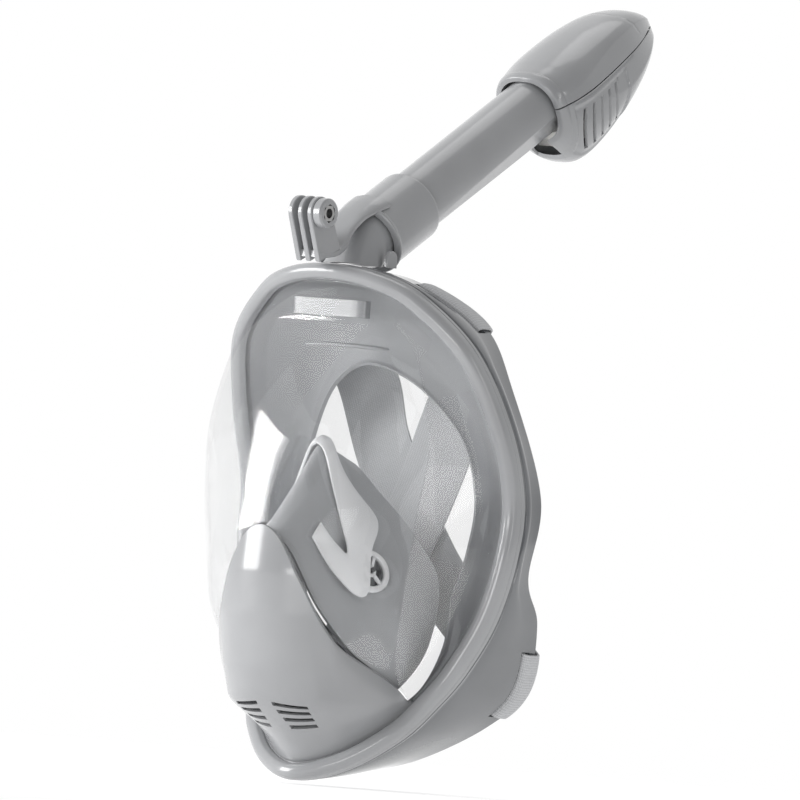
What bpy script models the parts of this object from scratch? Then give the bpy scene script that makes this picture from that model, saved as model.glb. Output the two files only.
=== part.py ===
"""Full-face snorkel mask, built as separate pieces in metres.

The mask faces -Y, +Z is up and the origin is the middle of the face opening.  All sizes below are in
millimetres and are turned into metres when a piece is made.
"""

import math

import bpy
import numpy as np

MM = 0.001

# Overall sizes of the mask body.
MASK_HALF_WIDTH = 91.0
MASK_TOP = 131.0
MASK_BOTTOM = 138.0
RIM_WIDTH = 9.0
RIM_FRONT = 5.0
RIM_WALL = 2.4
CLAMP_DEPTH = 6.0
BAND_WALL = 2.6
GAP = 0.35

# Clear window and chin cover.
LENS_WALL = 2.2
FLANGE_INSET = 3.0
FLANGE_END = RIM_WIDTH + 0.6
DOME_FRONT = 93.0
CHIN_WALL = 2.2
PANEL_GAP = 1.0
SLOT_ROWS = 4

# Silicone parts.
SKIRT_WALL = 2.0
POCKET_WALL = 1.8

# Valves.
INLET_SEAT_RADIUS = 11.5
INLET_OPEN_RADIUS = 8.4
INLET_FLAP_RADIUS = 8.0
PURGE_SEAT_RADIUS = 17.0
PURGE_OPEN_RADIUS = 13.0
PURGE_FLAP_RADIUS = 14.5
SEAT_THICK = 2.0
FLAP_THICK = 0.9
HUB_RADIUS = 3.2
STEM_HOLE_RADIUS = 1.6
STEM_RADIUS = 1.2

# Snorkel: a straight run that leans back from the top of the mask.
TUBE_LEAN = math.radians(60.0)
TUBE_RADIUS = 16.5
TUBE_WALL = 1.8
TUBE_START = 19.0
TUBE_MOUTH = 190.0
STUB_RADIUS = TUBE_RADIUS - 1.3
STUB_BORE = STUB_RADIUS - 3.7
STUB_LENGTH = 15.0
SLEEVE_RADIUS = TUBE_RADIUS + 2.7
SLEEVE_START = 2.0
SLEEVE_END = 40.0
SLIDE_CLEARANCE = 1.1
TUBE_CLEARANCE = 0.3
RING_SECTION = 0.95
HEAD_START = 149.0
HEAD_LENGTH = 106.0
HEAD_HALF_WIDTH = 27.0
HEAD_WALL = 2.2
LOUVRES = 5

# Camera prongs.
PRONG_THICK = 3.0
PRONG_PITCH = 6.27
PRONG_END_RADIUS = 8.5
PRONG_RISE = 24.0
PRONG_HOLE_RADIUS = 2.6
BOSS_RADIUS = 7.8
BOSS_LENGTH = 5.5
NUT_ACROSS_FLATS = 8.0
NUT_THICK = 4.0

# Straps.
STRAP_WIDTH = 38.0
STRAP_THICK = 1.6
STRAP_SLOT = 6.5
STRAP_BAR = 5.0
TAB_THICK = 0.8
TAPE_GAP = 0.9

HALF_STATIONS = 28

AXIS_FOOT = np.array([0.0, -23.0, 144.0])
AXIS_ALONG = np.array([0.0, math.sin(TUBE_LEAN), math.cos(TUBE_LEAN)])
AXIS_UP = np.array([0.0, -math.cos(TUBE_LEAN), math.sin(TUBE_LEAN)])

# Stations along the swept lines, places of the valves and the float, and the run of the straps.
SEAT_STAND_OFF = 2.9
UPPER_SLOT_STATIONS = (3, 6)
LOWER_SLOT_STATIONS = (19, 22)
CHIN_STATION = 22
CHIN_COLUMNS = 14
POCKET_STATIONS = 24
VALVE_STATION = 9
VALVE_ROW = 2
PURGE_CENTRE = np.array([0.0, -70.0, -80.0])
PURGE_AXIS = np.array([0.0, -0.96, -0.28])
HEAD_STEPS = (0.0, 4.0, 8.0, 12.0, 14.5, 19.0, 21.5, 26.0, 28.5, 33.0, 35.5, 40.0, 42.5, 56.0, 70.0,
              84.0, 96.0, 102.5, 106.0)
LOUVRE_ROWS = (3, 5, 7, 9, 11)
PIVOT_UP = -TUBE_RADIUS - 3.5
PIN_HALF_LENGTH = HEAD_HALF_WIDTH - 11.0
PIVOT_ALONG = TUBE_MOUTH + 8.0
LEVELS = 4
STRAP_MIDDLE = ((33.0, 0.0, 74.0), (21.0, 0.0, 40.0), (8.0, 0.0, 12.0), (-3.0, 0.0, -8.0),
                (-18.0, 0.0, -30.0))
TAB_LENGTH = 26.0

MATERIALS = {
    "gloss_grey_abs": ((0.42, 0.43, 0.44, 1.0), 0.22, 0.0),
    "dark_grey_abs": ((0.12, 0.125, 0.13, 1.0), 0.2, 0.0),
    "clear_polycarbonate": ((0.9, 0.92, 0.93, 1.0), 0.05, 1.0),
    "grey_silicone": ((0.25, 0.255, 0.26, 1.0), 0.5, 0.0),
    "translucent_grey_plastic": ((0.6, 0.61, 0.62, 1.0), 0.35, 0.0),
    "grey_webbing": ((0.33, 0.335, 0.34, 1.0), 0.9, 0.0),
    "black_hook_tape": ((0.02, 0.02, 0.02, 1.0), 0.95, 0.0),
    "black_silicone": ((0.03, 0.03, 0.032, 1.0), 0.5, 0.0),
    "white_foam": ((0.8, 0.8, 0.78, 1.0), 0.8, 0.0),
    "steel": ((0.6, 0.6, 0.6, 1.0), 0.3, 0.0),
}


def clear_scene():
    """Take away whatever the scene holds."""
    for item in list(bpy.data.objects):
        bpy.data.objects.remove(item, do_unlink=True)


def material(name):
    """One plain material for each kind of stuff."""
    found = bpy.data.materials.get(name)
    if found:
        return found
    color, rough, clear = MATERIALS[name]
    made = bpy.data.materials.new(name)
    made.use_nodes = True
    shader = made.node_tree.nodes["Principled BSDF"]
    shader.inputs["Base Color"].default_value = color
    shader.inputs["Roughness"].default_value = rough
    shader.inputs["Transmission Weight"].default_value = clear
    if name == "steel":
        shader.inputs["Metallic"].default_value = 1.0
    made.diffuse_color = color
    return made


def signed_volume(verts, faces):
    """Six times the volume that the faces close; negative when they look inward."""
    total = 0.0
    for face in faces:
        a = verts[face[0]]
        for k in range(1, len(face) - 1):
            total += float(np.dot(a, np.cross(verts[face[k]], verts[face[k + 1]])))
    return total


def make(name, verts, faces, mat, origin=(0.0, 0.0, 0.0), smooth=True):
    """A mesh object from points in millimetres, with its origin where it is asked."""
    verts = np.asarray(verts, float)
    origin = np.asarray(origin, float)
    if signed_volume(verts - verts.mean(axis=0), faces) < 0:
        faces = [tuple(reversed(face)) for face in faces]
    split = []
    for face in faces:
        if len(face) == 4:
            split.append((face[0], face[1], face[2]))
            split.append((face[0], face[2], face[3]))
        else:
            split.append(face)
    faces = split
    mesh = bpy.data.meshes.new(name)
    mesh.from_pydata(((verts - origin) * MM).tolist(), [], [tuple(int(i) for i in f) for f in faces])
    mesh.validate()
    mesh.materials.append(material(mat))
    piece = bpy.data.objects.new(name, mesh)
    piece.location = tuple(origin * MM)
    bpy.context.scene.collection.objects.link(piece)
    for polygon in mesh.polygons:
        polygon.use_smooth = smooth
    return piece


def smooth_half(points, count):
    """A rounded curve through points from the top middle to the bottom middle, at even steps."""
    points = np.asarray(points, float)
    flip = np.array([-1.0, 1.0, 1.0])
    after = points[-2] * flip if abs(points[-1][0]) < 1e-6 else 2 * points[-1] - points[-2]
    padded = np.vstack([points[1] * flip, points, after])
    dense = []
    for k in range(1, len(padded) - 2):
        p0, p1, p2, p3 = padded[k - 1], padded[k], padded[k + 1], padded[k + 2]
        for t in np.linspace(0.0, 1.0, 12, endpoint=False):
            a = 2 * p1 + (p2 - p0) * t
            b = (2 * p0 - 5 * p1 + 4 * p2 - p3) * t * t
            c = (3 * p1 - p0 - 3 * p2 + p3) * t * t * t
            dense.append(0.5 * (a + b + c))
    dense.append(points[-1])
    return resample(np.array(dense), count)


def resample(line, count):
    """The same line with this many points at even distances."""
    step = np.r_[0.0, np.cumsum(np.linalg.norm(np.diff(line, axis=0), axis=1))]
    want = np.linspace(0.0, step[-1], count)
    return np.stack([np.interp(want, step, line[:, k]) for k in range(3)], axis=1)


def mirror_loop(half):
    """A closed loop from the half on the +X side."""
    other = half[-2:0:-1] * np.array([-1.0, 1.0, 1.0])
    return np.vstack([half, other])


def across(half):
    """The line from the -X end over the middle to the +X end, from the half on the +X side."""
    other = half[:0:-1] * np.array([-1.0, 1.0, 1.0])
    return np.vstack([other, half])


def plan_normals(line, closed):
    """Outward unit normals of a line as seen from the front."""
    if closed:
        along = np.roll(line, -1, axis=0) - np.roll(line, 1, axis=0)
    else:
        along = np.gradient(line, axis=0)
    normal = np.stack([-along[:, 2], np.zeros(len(line)), along[:, 0]], axis=1)
    normal /= np.maximum(np.linalg.norm(normal, axis=1, keepdims=True), 1e-9)
    centre = np.array([0.0, 0.0, 0.0])
    side = np.sign(np.sum(normal * (line - centre), axis=1, keepdims=True))
    return normal * np.where(side == 0, 1.0, side)


def grid_normals(grid, wrap):
    """Unit normals of a grid of points."""
    down = np.gradient(grid, axis=0)
    if wrap:
        over = np.roll(grid, -1, axis=1) - np.roll(grid, 1, axis=1)
    else:
        over = np.gradient(grid, axis=1)
    normal = np.cross(down, over)
    return normal / np.maximum(np.linalg.norm(normal, axis=2, keepdims=True), 1e-9)


def thick_grid(name, front, back, mat, wrap=False, keep=None, origin=(0.0, 0.0, 0.0)):
    """A plate between two grids of points, with openings where cells are left out."""
    rows, cols = front.shape[:2]
    cell_cols = cols if wrap else cols - 1
    if keep is None:
        keep = np.ones((rows - 1, cell_cols), bool)
    verts = np.vstack([front.reshape(-1, 3), back.reshape(-1, 3)])
    half = rows * cols
    faces = []

    def number(i, j):
        return i * cols + j % cols

    def kept(i, j):
        if i < 0 or i >= rows - 1:
            return False
        if wrap:
            return bool(keep[i, j % cell_cols])
        return 0 <= j < cell_cols and bool(keep[i, j])

    for i in range(rows - 1):
        for j in range(cell_cols):
            if not keep[i, j]:
                continue
            a, b = number(i, j), number(i, j + 1)
            c, d = number(i + 1, j + 1), number(i + 1, j)
            faces.append((a, b, c, d))
            faces.append((half + a, half + d, half + c, half + b))
            if not kept(i - 1, j):
                faces.append((b, a, half + a, half + b))
            if not kept(i + 1, j):
                faces.append((d, c, half + c, half + d))
            if not kept(i, j - 1):
                faces.append((a, d, half + d, half + a))
            if not kept(i, j + 1):
                faces.append((c, b, half + b, half + c))
    used = np.unique(np.concatenate([np.array(f) for f in faces]))
    order = np.full(len(verts), -1)
    order[used] = np.arange(len(used))
    faces = [tuple(order[list(f)]) for f in faces]
    return make(name, verts[used], faces, mat, origin)


def loop_sweep(name, rings, mat, origin=(0.0, 0.0, 0.0), closed=True):
    """A body through closed rings of points; a closed row of rings joins its ends."""
    rings = np.asarray(rings, float)
    count, size = rings.shape[:2]
    verts = rings.reshape(-1, 3)
    faces = []
    last = count if closed else count - 1
    for i in range(last):
        n = (i + 1) % count
        for j in range(size):
            k = (j + 1) % size
            faces.append((i * size + j, i * size + k, n * size + k, n * size + j))
    if not closed:
        faces.append(tuple(reversed(range(size))))
        faces.append(tuple(range((count - 1) * size, count * size)))
    return make(name, verts, faces, mat, origin)


def turned(name, profile, centre, axis, mat, segments=32, origin=None, closed=True):
    """A round body from (radius, height) points; a closed profile leaves its middle open."""
    axis = np.asarray(axis, float)
    axis = axis / np.linalg.norm(axis)
    side = np.cross(axis, [1.0, 0.0, 0.0] if abs(axis[0]) < 0.9 else [0.0, 1.0, 0.0])
    side /= np.linalg.norm(side)
    third = np.cross(axis, side)
    turn = np.linspace(0.0, 2 * math.pi, segments, endpoint=False)
    spoke = np.cos(turn)[:, None] * side + np.sin(turn)[:, None] * third
    centre = np.asarray(centre, float)
    rings = [centre + spoke * r + axis * h for r, h in profile]
    return loop_sweep(name, rings, mat, centre if origin is None else origin, closed)


def in_snorkel(x, up, along):
    """A point of the snorkel from its distances across, up from and along the tube axis."""
    return AXIS_FOOT + np.array([1.0, 0.0, 0.0]) * x + AXIS_UP * up + AXIS_ALONG * along


# Outline of the rim: the outer edge, from the top middle down the +X side to the bottom middle.
def rim_half():
    """Outer edge of the front ring, which wraps back at the temples."""
    w, top, low = MASK_HALF_WIDTH, MASK_TOP, MASK_BOTTOM
    points = [
        (0.0, -52.0, top),
        (0.31 * w, -49.0, 0.975 * top),
        (0.57 * w, -41.0, 0.895 * top),
        (0.86 * w, -27.0, 0.69 * top),
        (0.985 * w, -8.0, 0.39 * top),
        (w, 5.0, 0.11 * top),
        (0.985 * w, 4.0, -0.12 * low),
        (0.91 * w, 0.0, -0.35 * low),
        (0.78 * w, -7.0, -0.55 * low),
        (0.66 * w, -16.0, -0.69 * low),
        (0.53 * w, -28.0, -0.82 * low),
        (0.29 * w, -42.0, -0.945 * low),
        (0.0, -50.0, -low),
    ]
    return smooth_half(points, HALF_STATIONS + 1)


def band_rear_half():
    """Rear edge of the side band: drawn in at the waist and deepest beside the jaw."""
    w, top, low = MASK_HALF_WIDTH, MASK_TOP, MASK_BOTTOM
    points = [
        (0.0, -27.0, 0.98 * top),
        (0.38 * w, -23.0, 0.955 * top),
        (0.71 * w, -1.0, 0.80 * top),
        (0.91 * w, 4.0, 0.55 * top),
        (0.985 * w, 26.0, 0.13 * top),
        (0.955 * w, 24.0, -0.18 * low),
        (0.90 * w, 41.0, -0.35 * low),
        (0.74 * w, 54.0, -0.60 * low),
        (0.57 * w, 42.0, -0.755 * low),
        (0.30 * w, 15.0, -0.90 * low),
        (0.0, 2.0, -0.95 * low),
    ]
    return smooth_half(points, HALF_STATIONS + 1)


def opening_half():
    """Inner lip of the silicone skirt, where the face goes."""
    points = [
        (0.0, -12.0, 81.0),
        (28.0, -4.0, 70.0),
        (49.0, 8.0, 45.0),
        (58.0, 12.0, 14.0),
        (56.0, 11.0, -14.0),
        (51.0, 8.0, -38.0),
        (47.0, 9.0, -64.0),
        (34.0, 9.0, -87.0),
        (16.0, 6.0, -100.0),
        (0.0, 4.0, -104.0),
    ]
    return smooth_half(points, HALF_STATIONS + 1)


def off_rim(line, closed, inward, behind):
    """The rim line moved in toward the middle and back."""
    return line - plan_normals(line, closed) * inward + np.array([0.0, behind, 0.0])


def front_rim():
    """Rounded front ring that clamps window, chin cover and skirt from the front."""
    line = mirror_loop(rim_half())
    w, f, wall, deep = RIM_WIDTH, RIM_FRONT, RIM_WALL, CLAMP_DEPTH
    section = [
        (w, 0.0),
        (w, -0.35 * f),
        (0.86 * w, -0.75 * f),
        (0.62 * w, -0.97 * f),
        (0.38 * w, -f),
        (0.18 * w, -0.8 * f),
        (0.05 * w, -0.45 * f),
        (0.0, -0.05 * f),
        (0.0, deep),
        (wall, deep),
        (wall, 0.0),
    ]
    rings = np.stack([off_rim(line, True, a, b) for a, b in section])
    return loop_sweep("front_rim", np.swapaxes(rings, 0, 1), "gloss_grey_abs")


def side_frame():
    """Rear frame: a clamp ledge behind the skirt and a band that runs back to the strap bars."""
    front_line = mirror_loop(rim_half())
    rear_line = mirror_loop(band_rear_half())
    seat = CLAMP_DEPTH + GAP
    corner = off_rim(front_line, True, 0.15, seat + 1.0)
    length = np.linalg.norm(rear_line - corner, axis=1, keepdims=True)
    along = (rear_line - corner) / length
    outer = [
        off_rim(front_line, True, RIM_WIDTH, seat),
        off_rim(front_line, True, 1.0, seat),
        corner,
    ]
    back_start = np.maximum(length - STRAP_BAR - STRAP_SLOT, 0.38 * length)
    bar_start = np.maximum(length - STRAP_BAR, 0.78 * length)
    bulge = plan_normals(front_line, True)
    outer.append(corner + along * back_start * 0.55 + bulge * 0.5)
    outer.append(corner + along * back_start)
    outer.append(corner + along * bar_start)
    outer.append(rear_line)
    inner = []
    for k, ring in enumerate(outer):
        if k < 2:
            inner.append(off_rim(front_line, True, (RIM_WIDTH, BAND_WALL)[k], seat + BAND_WALL))
        else:
            moved = ring - plan_normals(ring, True) * BAND_WALL
            if k == 2:
                moved = moved + np.array([0.0, BAND_WALL - 0.6, 0.0])
            inner.append(moved)
    outer, inner = np.stack(outer), np.stack(inner)
    count = outer.shape[1]
    keep = np.ones((outer.shape[0] - 1, count), bool)
    slot_row = 4
    for first, last in UPPER_SLOT_STATIONS, LOWER_SLOT_STATIONS:
        keep[slot_row, first:last] = False
        keep[slot_row, count - last:count - first] = False
    keep[3, 0] = False
    keep[3, count - 1] = False
    return thick_grid("side_frame", outer, inner, "dark_grey_abs", wrap=True, keep=keep)


# The dome that window and chin cover share.
def dome_depth(x, z):
    """How far forward the dome stands at a place below the nose."""
    heights = np.array([-131.0, -120.0, -102.0, -80.0, -53.0, -30.0, -6.0, 40.0])
    middle = np.array([52.0, 66.0, 80.0, 88.0, 93.5, 95.0, DOME_FRONT, 83.0])
    return -np.interp(z, heights, middle) + 0.0115 * x * x + 8e-7 * x ** 4


def chin_edge_half(count):
    """Edge between window and chin cover, from the nose to the rim inner edge."""
    line = rim_half()
    end = off_rim(across(line), False, FLANGE_END + 1.4, 0.0)[HALF_STATIONS + CHIN_STATION]
    outline = [
        (0.0, 0.0, -6.0),
        (8.0, 0.0, -9.0),
        (15.0, 0.0, -17.0),
        (24.0, 0.0, -34.0),
        (33.0, 0.0, -54.0),
        (41.0, 0.0, -72.0),
        (0.92 * end[0], 0.0, end[2] + 6.0),
        (end[0], 0.0, end[2]),
    ]
    half = smooth_half(outline, count)
    late = np.clip((np.linspace(0.0, 1.0, count) - 0.68) / 0.32, 0.0, 1.0)
    late = late * late * (3 - 2 * late)
    half[:, 1] = dome_depth(half[:, 0], half[:, 2]) * (1 - late) + (end[1] - 5.0) * late
    return half


def window_rows(line, edge, crease):
    """Rows of points from the clamped flange over the crease to the chin edge."""
    rows = [off_rim(line, False, FLANGE_INSET, GAP), off_rim(line, False, FLANGE_END, GAP)]
    foot = off_rim(line, False, FLANGE_END + 1.2, -1.0)
    for part in (0.0, 0.5, 0.92):
        rows.append(foot + (crease - foot) * part)
    rows.append(crease)
    for part in (0.14, 0.38, 0.68, 1.0):
        point = crease + (edge - crease) * part
        depth = math.sin(0.5 * math.pi * part) ** 0.9
        point[:, 1] = crease[:, 1] + (edge[:, 1] - crease[:, 1]) * depth
        rows.append(point)
    return np.stack(rows)


def wall_offset(line, turns):
    """Direction through the wall for each row: from inward (0 degrees) to straight back (90)."""
    inward = -plan_normals(line, False)
    back = np.array([0.0, 1.0, 0.0])
    lean = np.array(turns, float)[:, None]
    span = np.abs(np.linspace(-1.0, 1.0, len(line)))[None, :]
    ends = np.clip((span - 0.75) / 0.22, 0.0, 1.0)
    lean = np.where(np.arange(len(turns))[:, None] < 2, lean, lean * (1 - ends) + 30.0 * ends)
    lean = np.radians(lean)[:, :, None]
    return np.cos(lean) * inward[None] + np.sin(lean) * back


def thinner(count):
    """Share of the wall kept in each column: the corners run out thin."""
    span = np.abs(np.linspace(-1.0, 1.0, count))
    return (1.0 - 0.6 * np.clip((span - 0.86) / 0.12, 0.0, 1.0))[None, :, None]


def lens():
    """Clear curved window with a flat front panel, side windows and a clamped flange."""
    half = rim_half()[:CHIN_STATION + 1]
    line = across(half)
    end = off_rim(line, False, FLANGE_END + 1.3, 0.0)[-1]
    crease_points = [
        (0.0, -59.0, 102.0),
        (30.0, -57.0, 102.0),
        (47.0, -51.0, 100.0),
        (62.0, -50.0, 81.0),
        (73.0, -50.0, 40.0),
        (68.0, -50.0, 0.0),
        (63.5, -49.0, -38.0),
        (end[0] + 5.0, -40.0, end[2] + 14.0),
        (end[0], end[1] - 3.0, end[2]),
    ]
    crease = across(smooth_half(crease_points, CHIN_STATION + 1))
    edge = across(chin_edge_half(CHIN_STATION + 1))
    rows = window_rows(line, edge, crease)
    pull = rows[-2] - rows[-1]
    size = np.maximum(np.linalg.norm(pull, axis=1, keepdims=True), 1e-6)
    rows[-1] = rows[-1] + pull / size * 0.5 * PANEL_GAP
    turns = (90, 90, 45, 18, 22, 45, 68, 80, 88, 90)
    back = rows + wall_offset(line, turns) * LENS_WALL * thinner(len(line))
    return thick_grid("lens", rows, back, "clear_polycarbonate")


def chin_cover():
    """Opaque cover below the window, with rows of exhaust slots at the bottom."""
    half = rim_half()
    count = CHIN_COLUMNS
    low = resample(half[CHIN_STATION:], count)
    low[0] = low[0] + (half[CHIN_STATION + 1] - half[CHIN_STATION]) * 0.1
    line = across(low[::-1])
    edge = across(chin_edge_half(count))
    span = np.linspace(-1.0, 1.0, 2 * count - 1)
    edge = edge.copy()
    edge[:, 2] -= 0.5 * PANEL_GAP + 0.25
    edge[:, 0] *= 1.0 - 0.004 * np.abs(span)
    foot = off_rim(line, False, FLANGE_END + 1.2, -1.0)
    parts = [0.0, 0.07]
    for k in range(2 * SLOT_ROWS + 1):
        parts.append(0.13 + 0.13 * k / (2 * SLOT_ROWS))
    parts += [0.36, 0.56, 0.78, 1.0]
    rows = [off_rim(line, False, FLANGE_INSET, GAP), off_rim(line, False, FLANGE_END, GAP)]
    for part in parts:
        point = foot + (edge - foot) * part
        rise = min(1.0, part / 0.3)
        rise = rise * rise * (3 - 2 * rise)
        dome = dome_depth(point[:, 0], point[:, 2])
        point[:, 1] = point[:, 1] * (1 - rise) + dome * rise
        side = np.clip((np.abs(span) - 0.5) / 0.45, 0.0, 1.0)
        side = side * side * (3 - 2 * side)
        straight = foot[:, 1] + (edge[:, 1] - foot[:, 1]) * math.sin(0.5 * math.pi * part)
        point[:, 1] = point[:, 1] * (1 - side) + straight * side
        rows.append(point)
    rows = np.stack(rows)
    turns = [90, 90] + [min(90.0, 20.0 + 200.0 * part) for part in parts]
    back = rows + wall_offset(line, turns) * CHIN_WALL * thinner(len(line))
    keep = np.ones((rows.shape[0] - 1, rows.shape[1] - 1), bool)
    mid = count - 1
    for k in range(SLOT_ROWS):
        row = 4 + 2 * k
        keep[row, mid + 1:mid + 5] = False
        keep[row, mid - 5:mid - 1] = False
    return thick_grid("chin_cover", rows, back, "gloss_grey_abs", keep=keep)


def face_skirt():
    """Silicone skirt: clamped flange, side wall and a cushion that rolls in to the face lip."""
    line = mirror_loop(rim_half())
    lip = mirror_loop(opening_half())
    wall = off_rim(line, True, RIM_WIDTH + 2.6, CLAMP_DEPTH + 6.0)
    seat = GAP + LENS_WALL + GAP
    rows = [off_rim(line, True, FLANGE_INSET, seat), off_rim(line, True, FLANGE_END, seat), wall]
    for part, behind in (0.35, 12.0), (0.7, 13.0), (0.93, 5.0):
        point = wall + (lip - wall) * part
        point[:, 1] += behind * (1.0 - 0.3 * part)
        rows.append(point)
    rows.append(lip)
    rows = np.stack(rows)
    normal = grid_normals(rows, True)
    if normal[4, 20, 1] < 0:
        normal = -normal
    back = rows + normal * SKIRT_WALL
    back[0] = rows[0] + np.array([0.0, SKIRT_WALL, 0.0])
    back[1] = rows[1] + np.array([0.0, SKIRT_WALL, 0.0])
    return thick_grid("face_skirt", rows, back, "grey_silicone", wrap=True)


def pocket_front_half():
    """Front edge of the nose and mouth pocket, just behind the chin cover."""
    points = [
        (0.0, -86.0, -11.0),
        (12.0, -82.0, -19.0),
        (26.0, -74.0, -46.0),
        (36.0, -57.0, -68.0),
        (39.0, -37.0, -82.0),
        (28.0, -42.0, -102.0),
        (0.0, -50.0, -114.0),
    ]
    return smooth_half(points, POCKET_STATIONS + 1)


def pocket_middle_half():
    """Widest line of the pocket, from the ridge above the nose round the cheeks."""
    points = [
        (0.0, -47.0, 38.0),
        (11.0, -45.0, 16.0),
        (30.0, -36.0, -22.0),
        (44.0, -24.0, -52.0),
        (42.0, -16.0, -80.0),
        (24.0, -20.0, -100.0),
        (0.0, -24.0, -107.0),
    ]
    return smooth_half(points, POCKET_STATIONS + 1)


def pocket_rear_half():
    """Rear lip of the pocket, from the nose bridge round the mouth."""
    points = [
        (0.0, -22.0, 29.0),
        (14.0, -11.0, 13.0),
        (29.0, -1.0, -6.0),
        (44.0, 4.0, -30.0),
        (41.0, 4.0, -62.0),
        (28.0, 3.0, -83.0),
        (13.0, 0.0, -93.0),
        (0.0, -2.0, -96.0),
    ]
    return smooth_half(points, POCKET_STATIONS + 1)


def pocket_grid():
    """Outer surface of the pocket from its front edge to its rear lip."""
    front = mirror_loop(pocket_front_half())
    middle = mirror_loop(pocket_middle_half())
    rear = mirror_loop(pocket_rear_half())
    rows = [front]
    for part in (0.35, 0.7):
        rows.append(front + (middle - front) * part)
    rows.append(middle)
    rows.append(middle + (rear - middle) * 0.5)
    rows.append(rear)
    return np.stack(rows)


def pocket_normals():
    """Outward normals of the pocket surface."""
    grid = pocket_grid()
    normal = grid_normals(grid, True)
    if normal[3, 6, 0] < 0:
        normal = -normal
    return grid, normal


def valve_place(sign):
    """Centre and outward direction of the inlet valve on one cheek."""
    grid, normal = pocket_normals()
    at = VALVE_STATION if sign > 0 else grid.shape[1] - VALVE_STATION
    centre = 0.5 * (grid[VALVE_ROW, at] + grid[VALVE_ROW + 1, at])
    out = normal[VALVE_ROW, at] + normal[VALVE_ROW + 1, at]
    out = out / np.linalg.norm(out)
    return centre, out


def nose_pocket():
    """Silicone nose and mouth pocket, open at the front and to the face."""
    grid, normal = pocket_normals()
    inner = grid - normal * POCKET_WALL
    count = grid.shape[1]
    keep = np.ones((grid.shape[0] - 1, count), bool)
    for at in (VALVE_STATION - 1, VALVE_STATION):
        keep[1:4, at] = False
        keep[1:4, count - 1 - at] = False
    return thick_grid("nose_pocket", grid, inner, "grey_silicone", wrap=True, keep=keep)


def spoked_seat(name, centre, axis, outer, clear, mat, spokes):
    """Flat round valve seat: hub with a stem hole, spokes and a sealing ring."""
    axis = axis / np.linalg.norm(axis)
    side = np.cross(axis, [1.0, 0.0, 0.0] if abs(axis[0]) < 0.9 else [0.0, 1.0, 0.0])
    side /= np.linalg.norm(side)
    third = np.cross(axis, side)
    per = 6
    count = spokes * per
    turn = np.linspace(0.0, 2 * math.pi, count, endpoint=False)
    spoke = np.cos(turn)[:, None] * side + np.sin(turn)[:, None] * third
    radii = [STEM_HOLE_RADIUS, HUB_RADIUS, clear, outer]
    front = np.stack([centre + spoke * r + axis * SEAT_THICK * 0.5 for r in radii])
    back = np.stack([centre + spoke * r - axis * SEAT_THICK * 0.5 for r in radii])
    keep = np.ones((3, count), bool)
    for j in range(count):
        keep[1, j] = j % per == 0
    return thick_grid(name, front, back, mat, wrap=True, keep=keep, origin=centre)


def mushroom_flap(name, seat_centre, axis, radius):
    """Thin round flap that lies on the seat, with a stem through the hub."""
    axis = axis / np.linalg.norm(axis)
    lie = 0.5 * SEAT_THICK + GAP
    tail = -0.5 * SEAT_THICK - 2.4
    profile = [
        (0.2, lie + FLAP_THICK + 0.2),
        (0.5 * radius, lie + FLAP_THICK + 0.1),
        (radius, lie + 0.5 * FLAP_THICK),
        (radius - 0.2, lie),
        (STEM_RADIUS, lie),
        (STEM_RADIUS, tail + 0.8),
        (STEM_RADIUS + 0.15, tail + 0.3),
        (0.3, tail),
    ]
    return turned(name, profile, seat_centre, axis, "black_silicone", 18, closed=False)


def inlet_valves():
    """One-way valves on both cheeks of the pocket: seat outside, flap toward the mouth."""
    for side, sign in ("right", 1), ("left", -1):
        centre, out = valve_place(sign)
        seat = centre + out * (0.5 * SEAT_THICK + SEAT_STAND_OFF)
        spoked_seat("inlet_valve_seat_" + side, seat, out, INLET_SEAT_RADIUS, INLET_OPEN_RADIUS,
                    "translucent_grey_plastic", 3)
        mushroom_flap("inlet_flap_" + side, seat, -out, INLET_FLAP_RADIUS)


def pocket_bracket():
    """Light saddle over the ridge of the pocket; each arm is open in the middle."""
    grid, normal = pocket_normals()
    offset = 1.3
    thick = 1.6
    stations = list(range(-7, 8))
    front = []
    for row, part in (0, 0.55), (1, 0.25), (2, 0.3), (3, 0.0):
        here = []
        for at in stations:
            base = grid[row, at] * (1 - part) + grid[min(row + 1, 5), at] * part
            out = normal[row, at] * (1 - part) + normal[min(row + 1, 5), at] * part
            here.append(base + out / np.linalg.norm(out) * offset)
        front.append(here)
    front = np.array(front)
    lift = grid_normals(front, False)
    if lift[1, 7, 2] < 0:
        lift = -lift
    keep = np.ones((front.shape[0] - 1, front.shape[1] - 1), bool)
    keep[1, 2:6] = False
    keep[1, 8:12] = False
    return thick_grid("pocket_bracket", front + lift * thick, front, "translucent_grey_plastic", keep=keep)


def exhaust_housing():
    """Wall between pocket and chin cover that carries the round exhaust valve."""
    rim = mirror_loop(pocket_front_half())
    rim = rim + (PURGE_CENTRE - rim) * 0.1 + np.array([0.0, 0.6, 0.0])
    axis = PURGE_AXIS / np.linalg.norm(PURGE_AXIS)
    up = np.cross([1.0, 0.0, 0.0], axis)
    if up[2] < 0:
        up = -up
    turn = np.linspace(0.0, 2 * math.pi, rim.shape[0], endpoint=False)
    circle = np.sin(turn)[:, None] * np.array([1.0, 0.0, 0.0]) + np.cos(turn)[:, None] * up
    ring = PURGE_CENTRE + circle * (PURGE_SEAT_RADIUS + GAP)
    rows = np.stack([rim, rim + (ring - rim) * 0.6, ring])
    return thick_grid("exhaust_housing", rows, rows - axis * 1.8, "dark_grey_abs", wrap=True)


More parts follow.
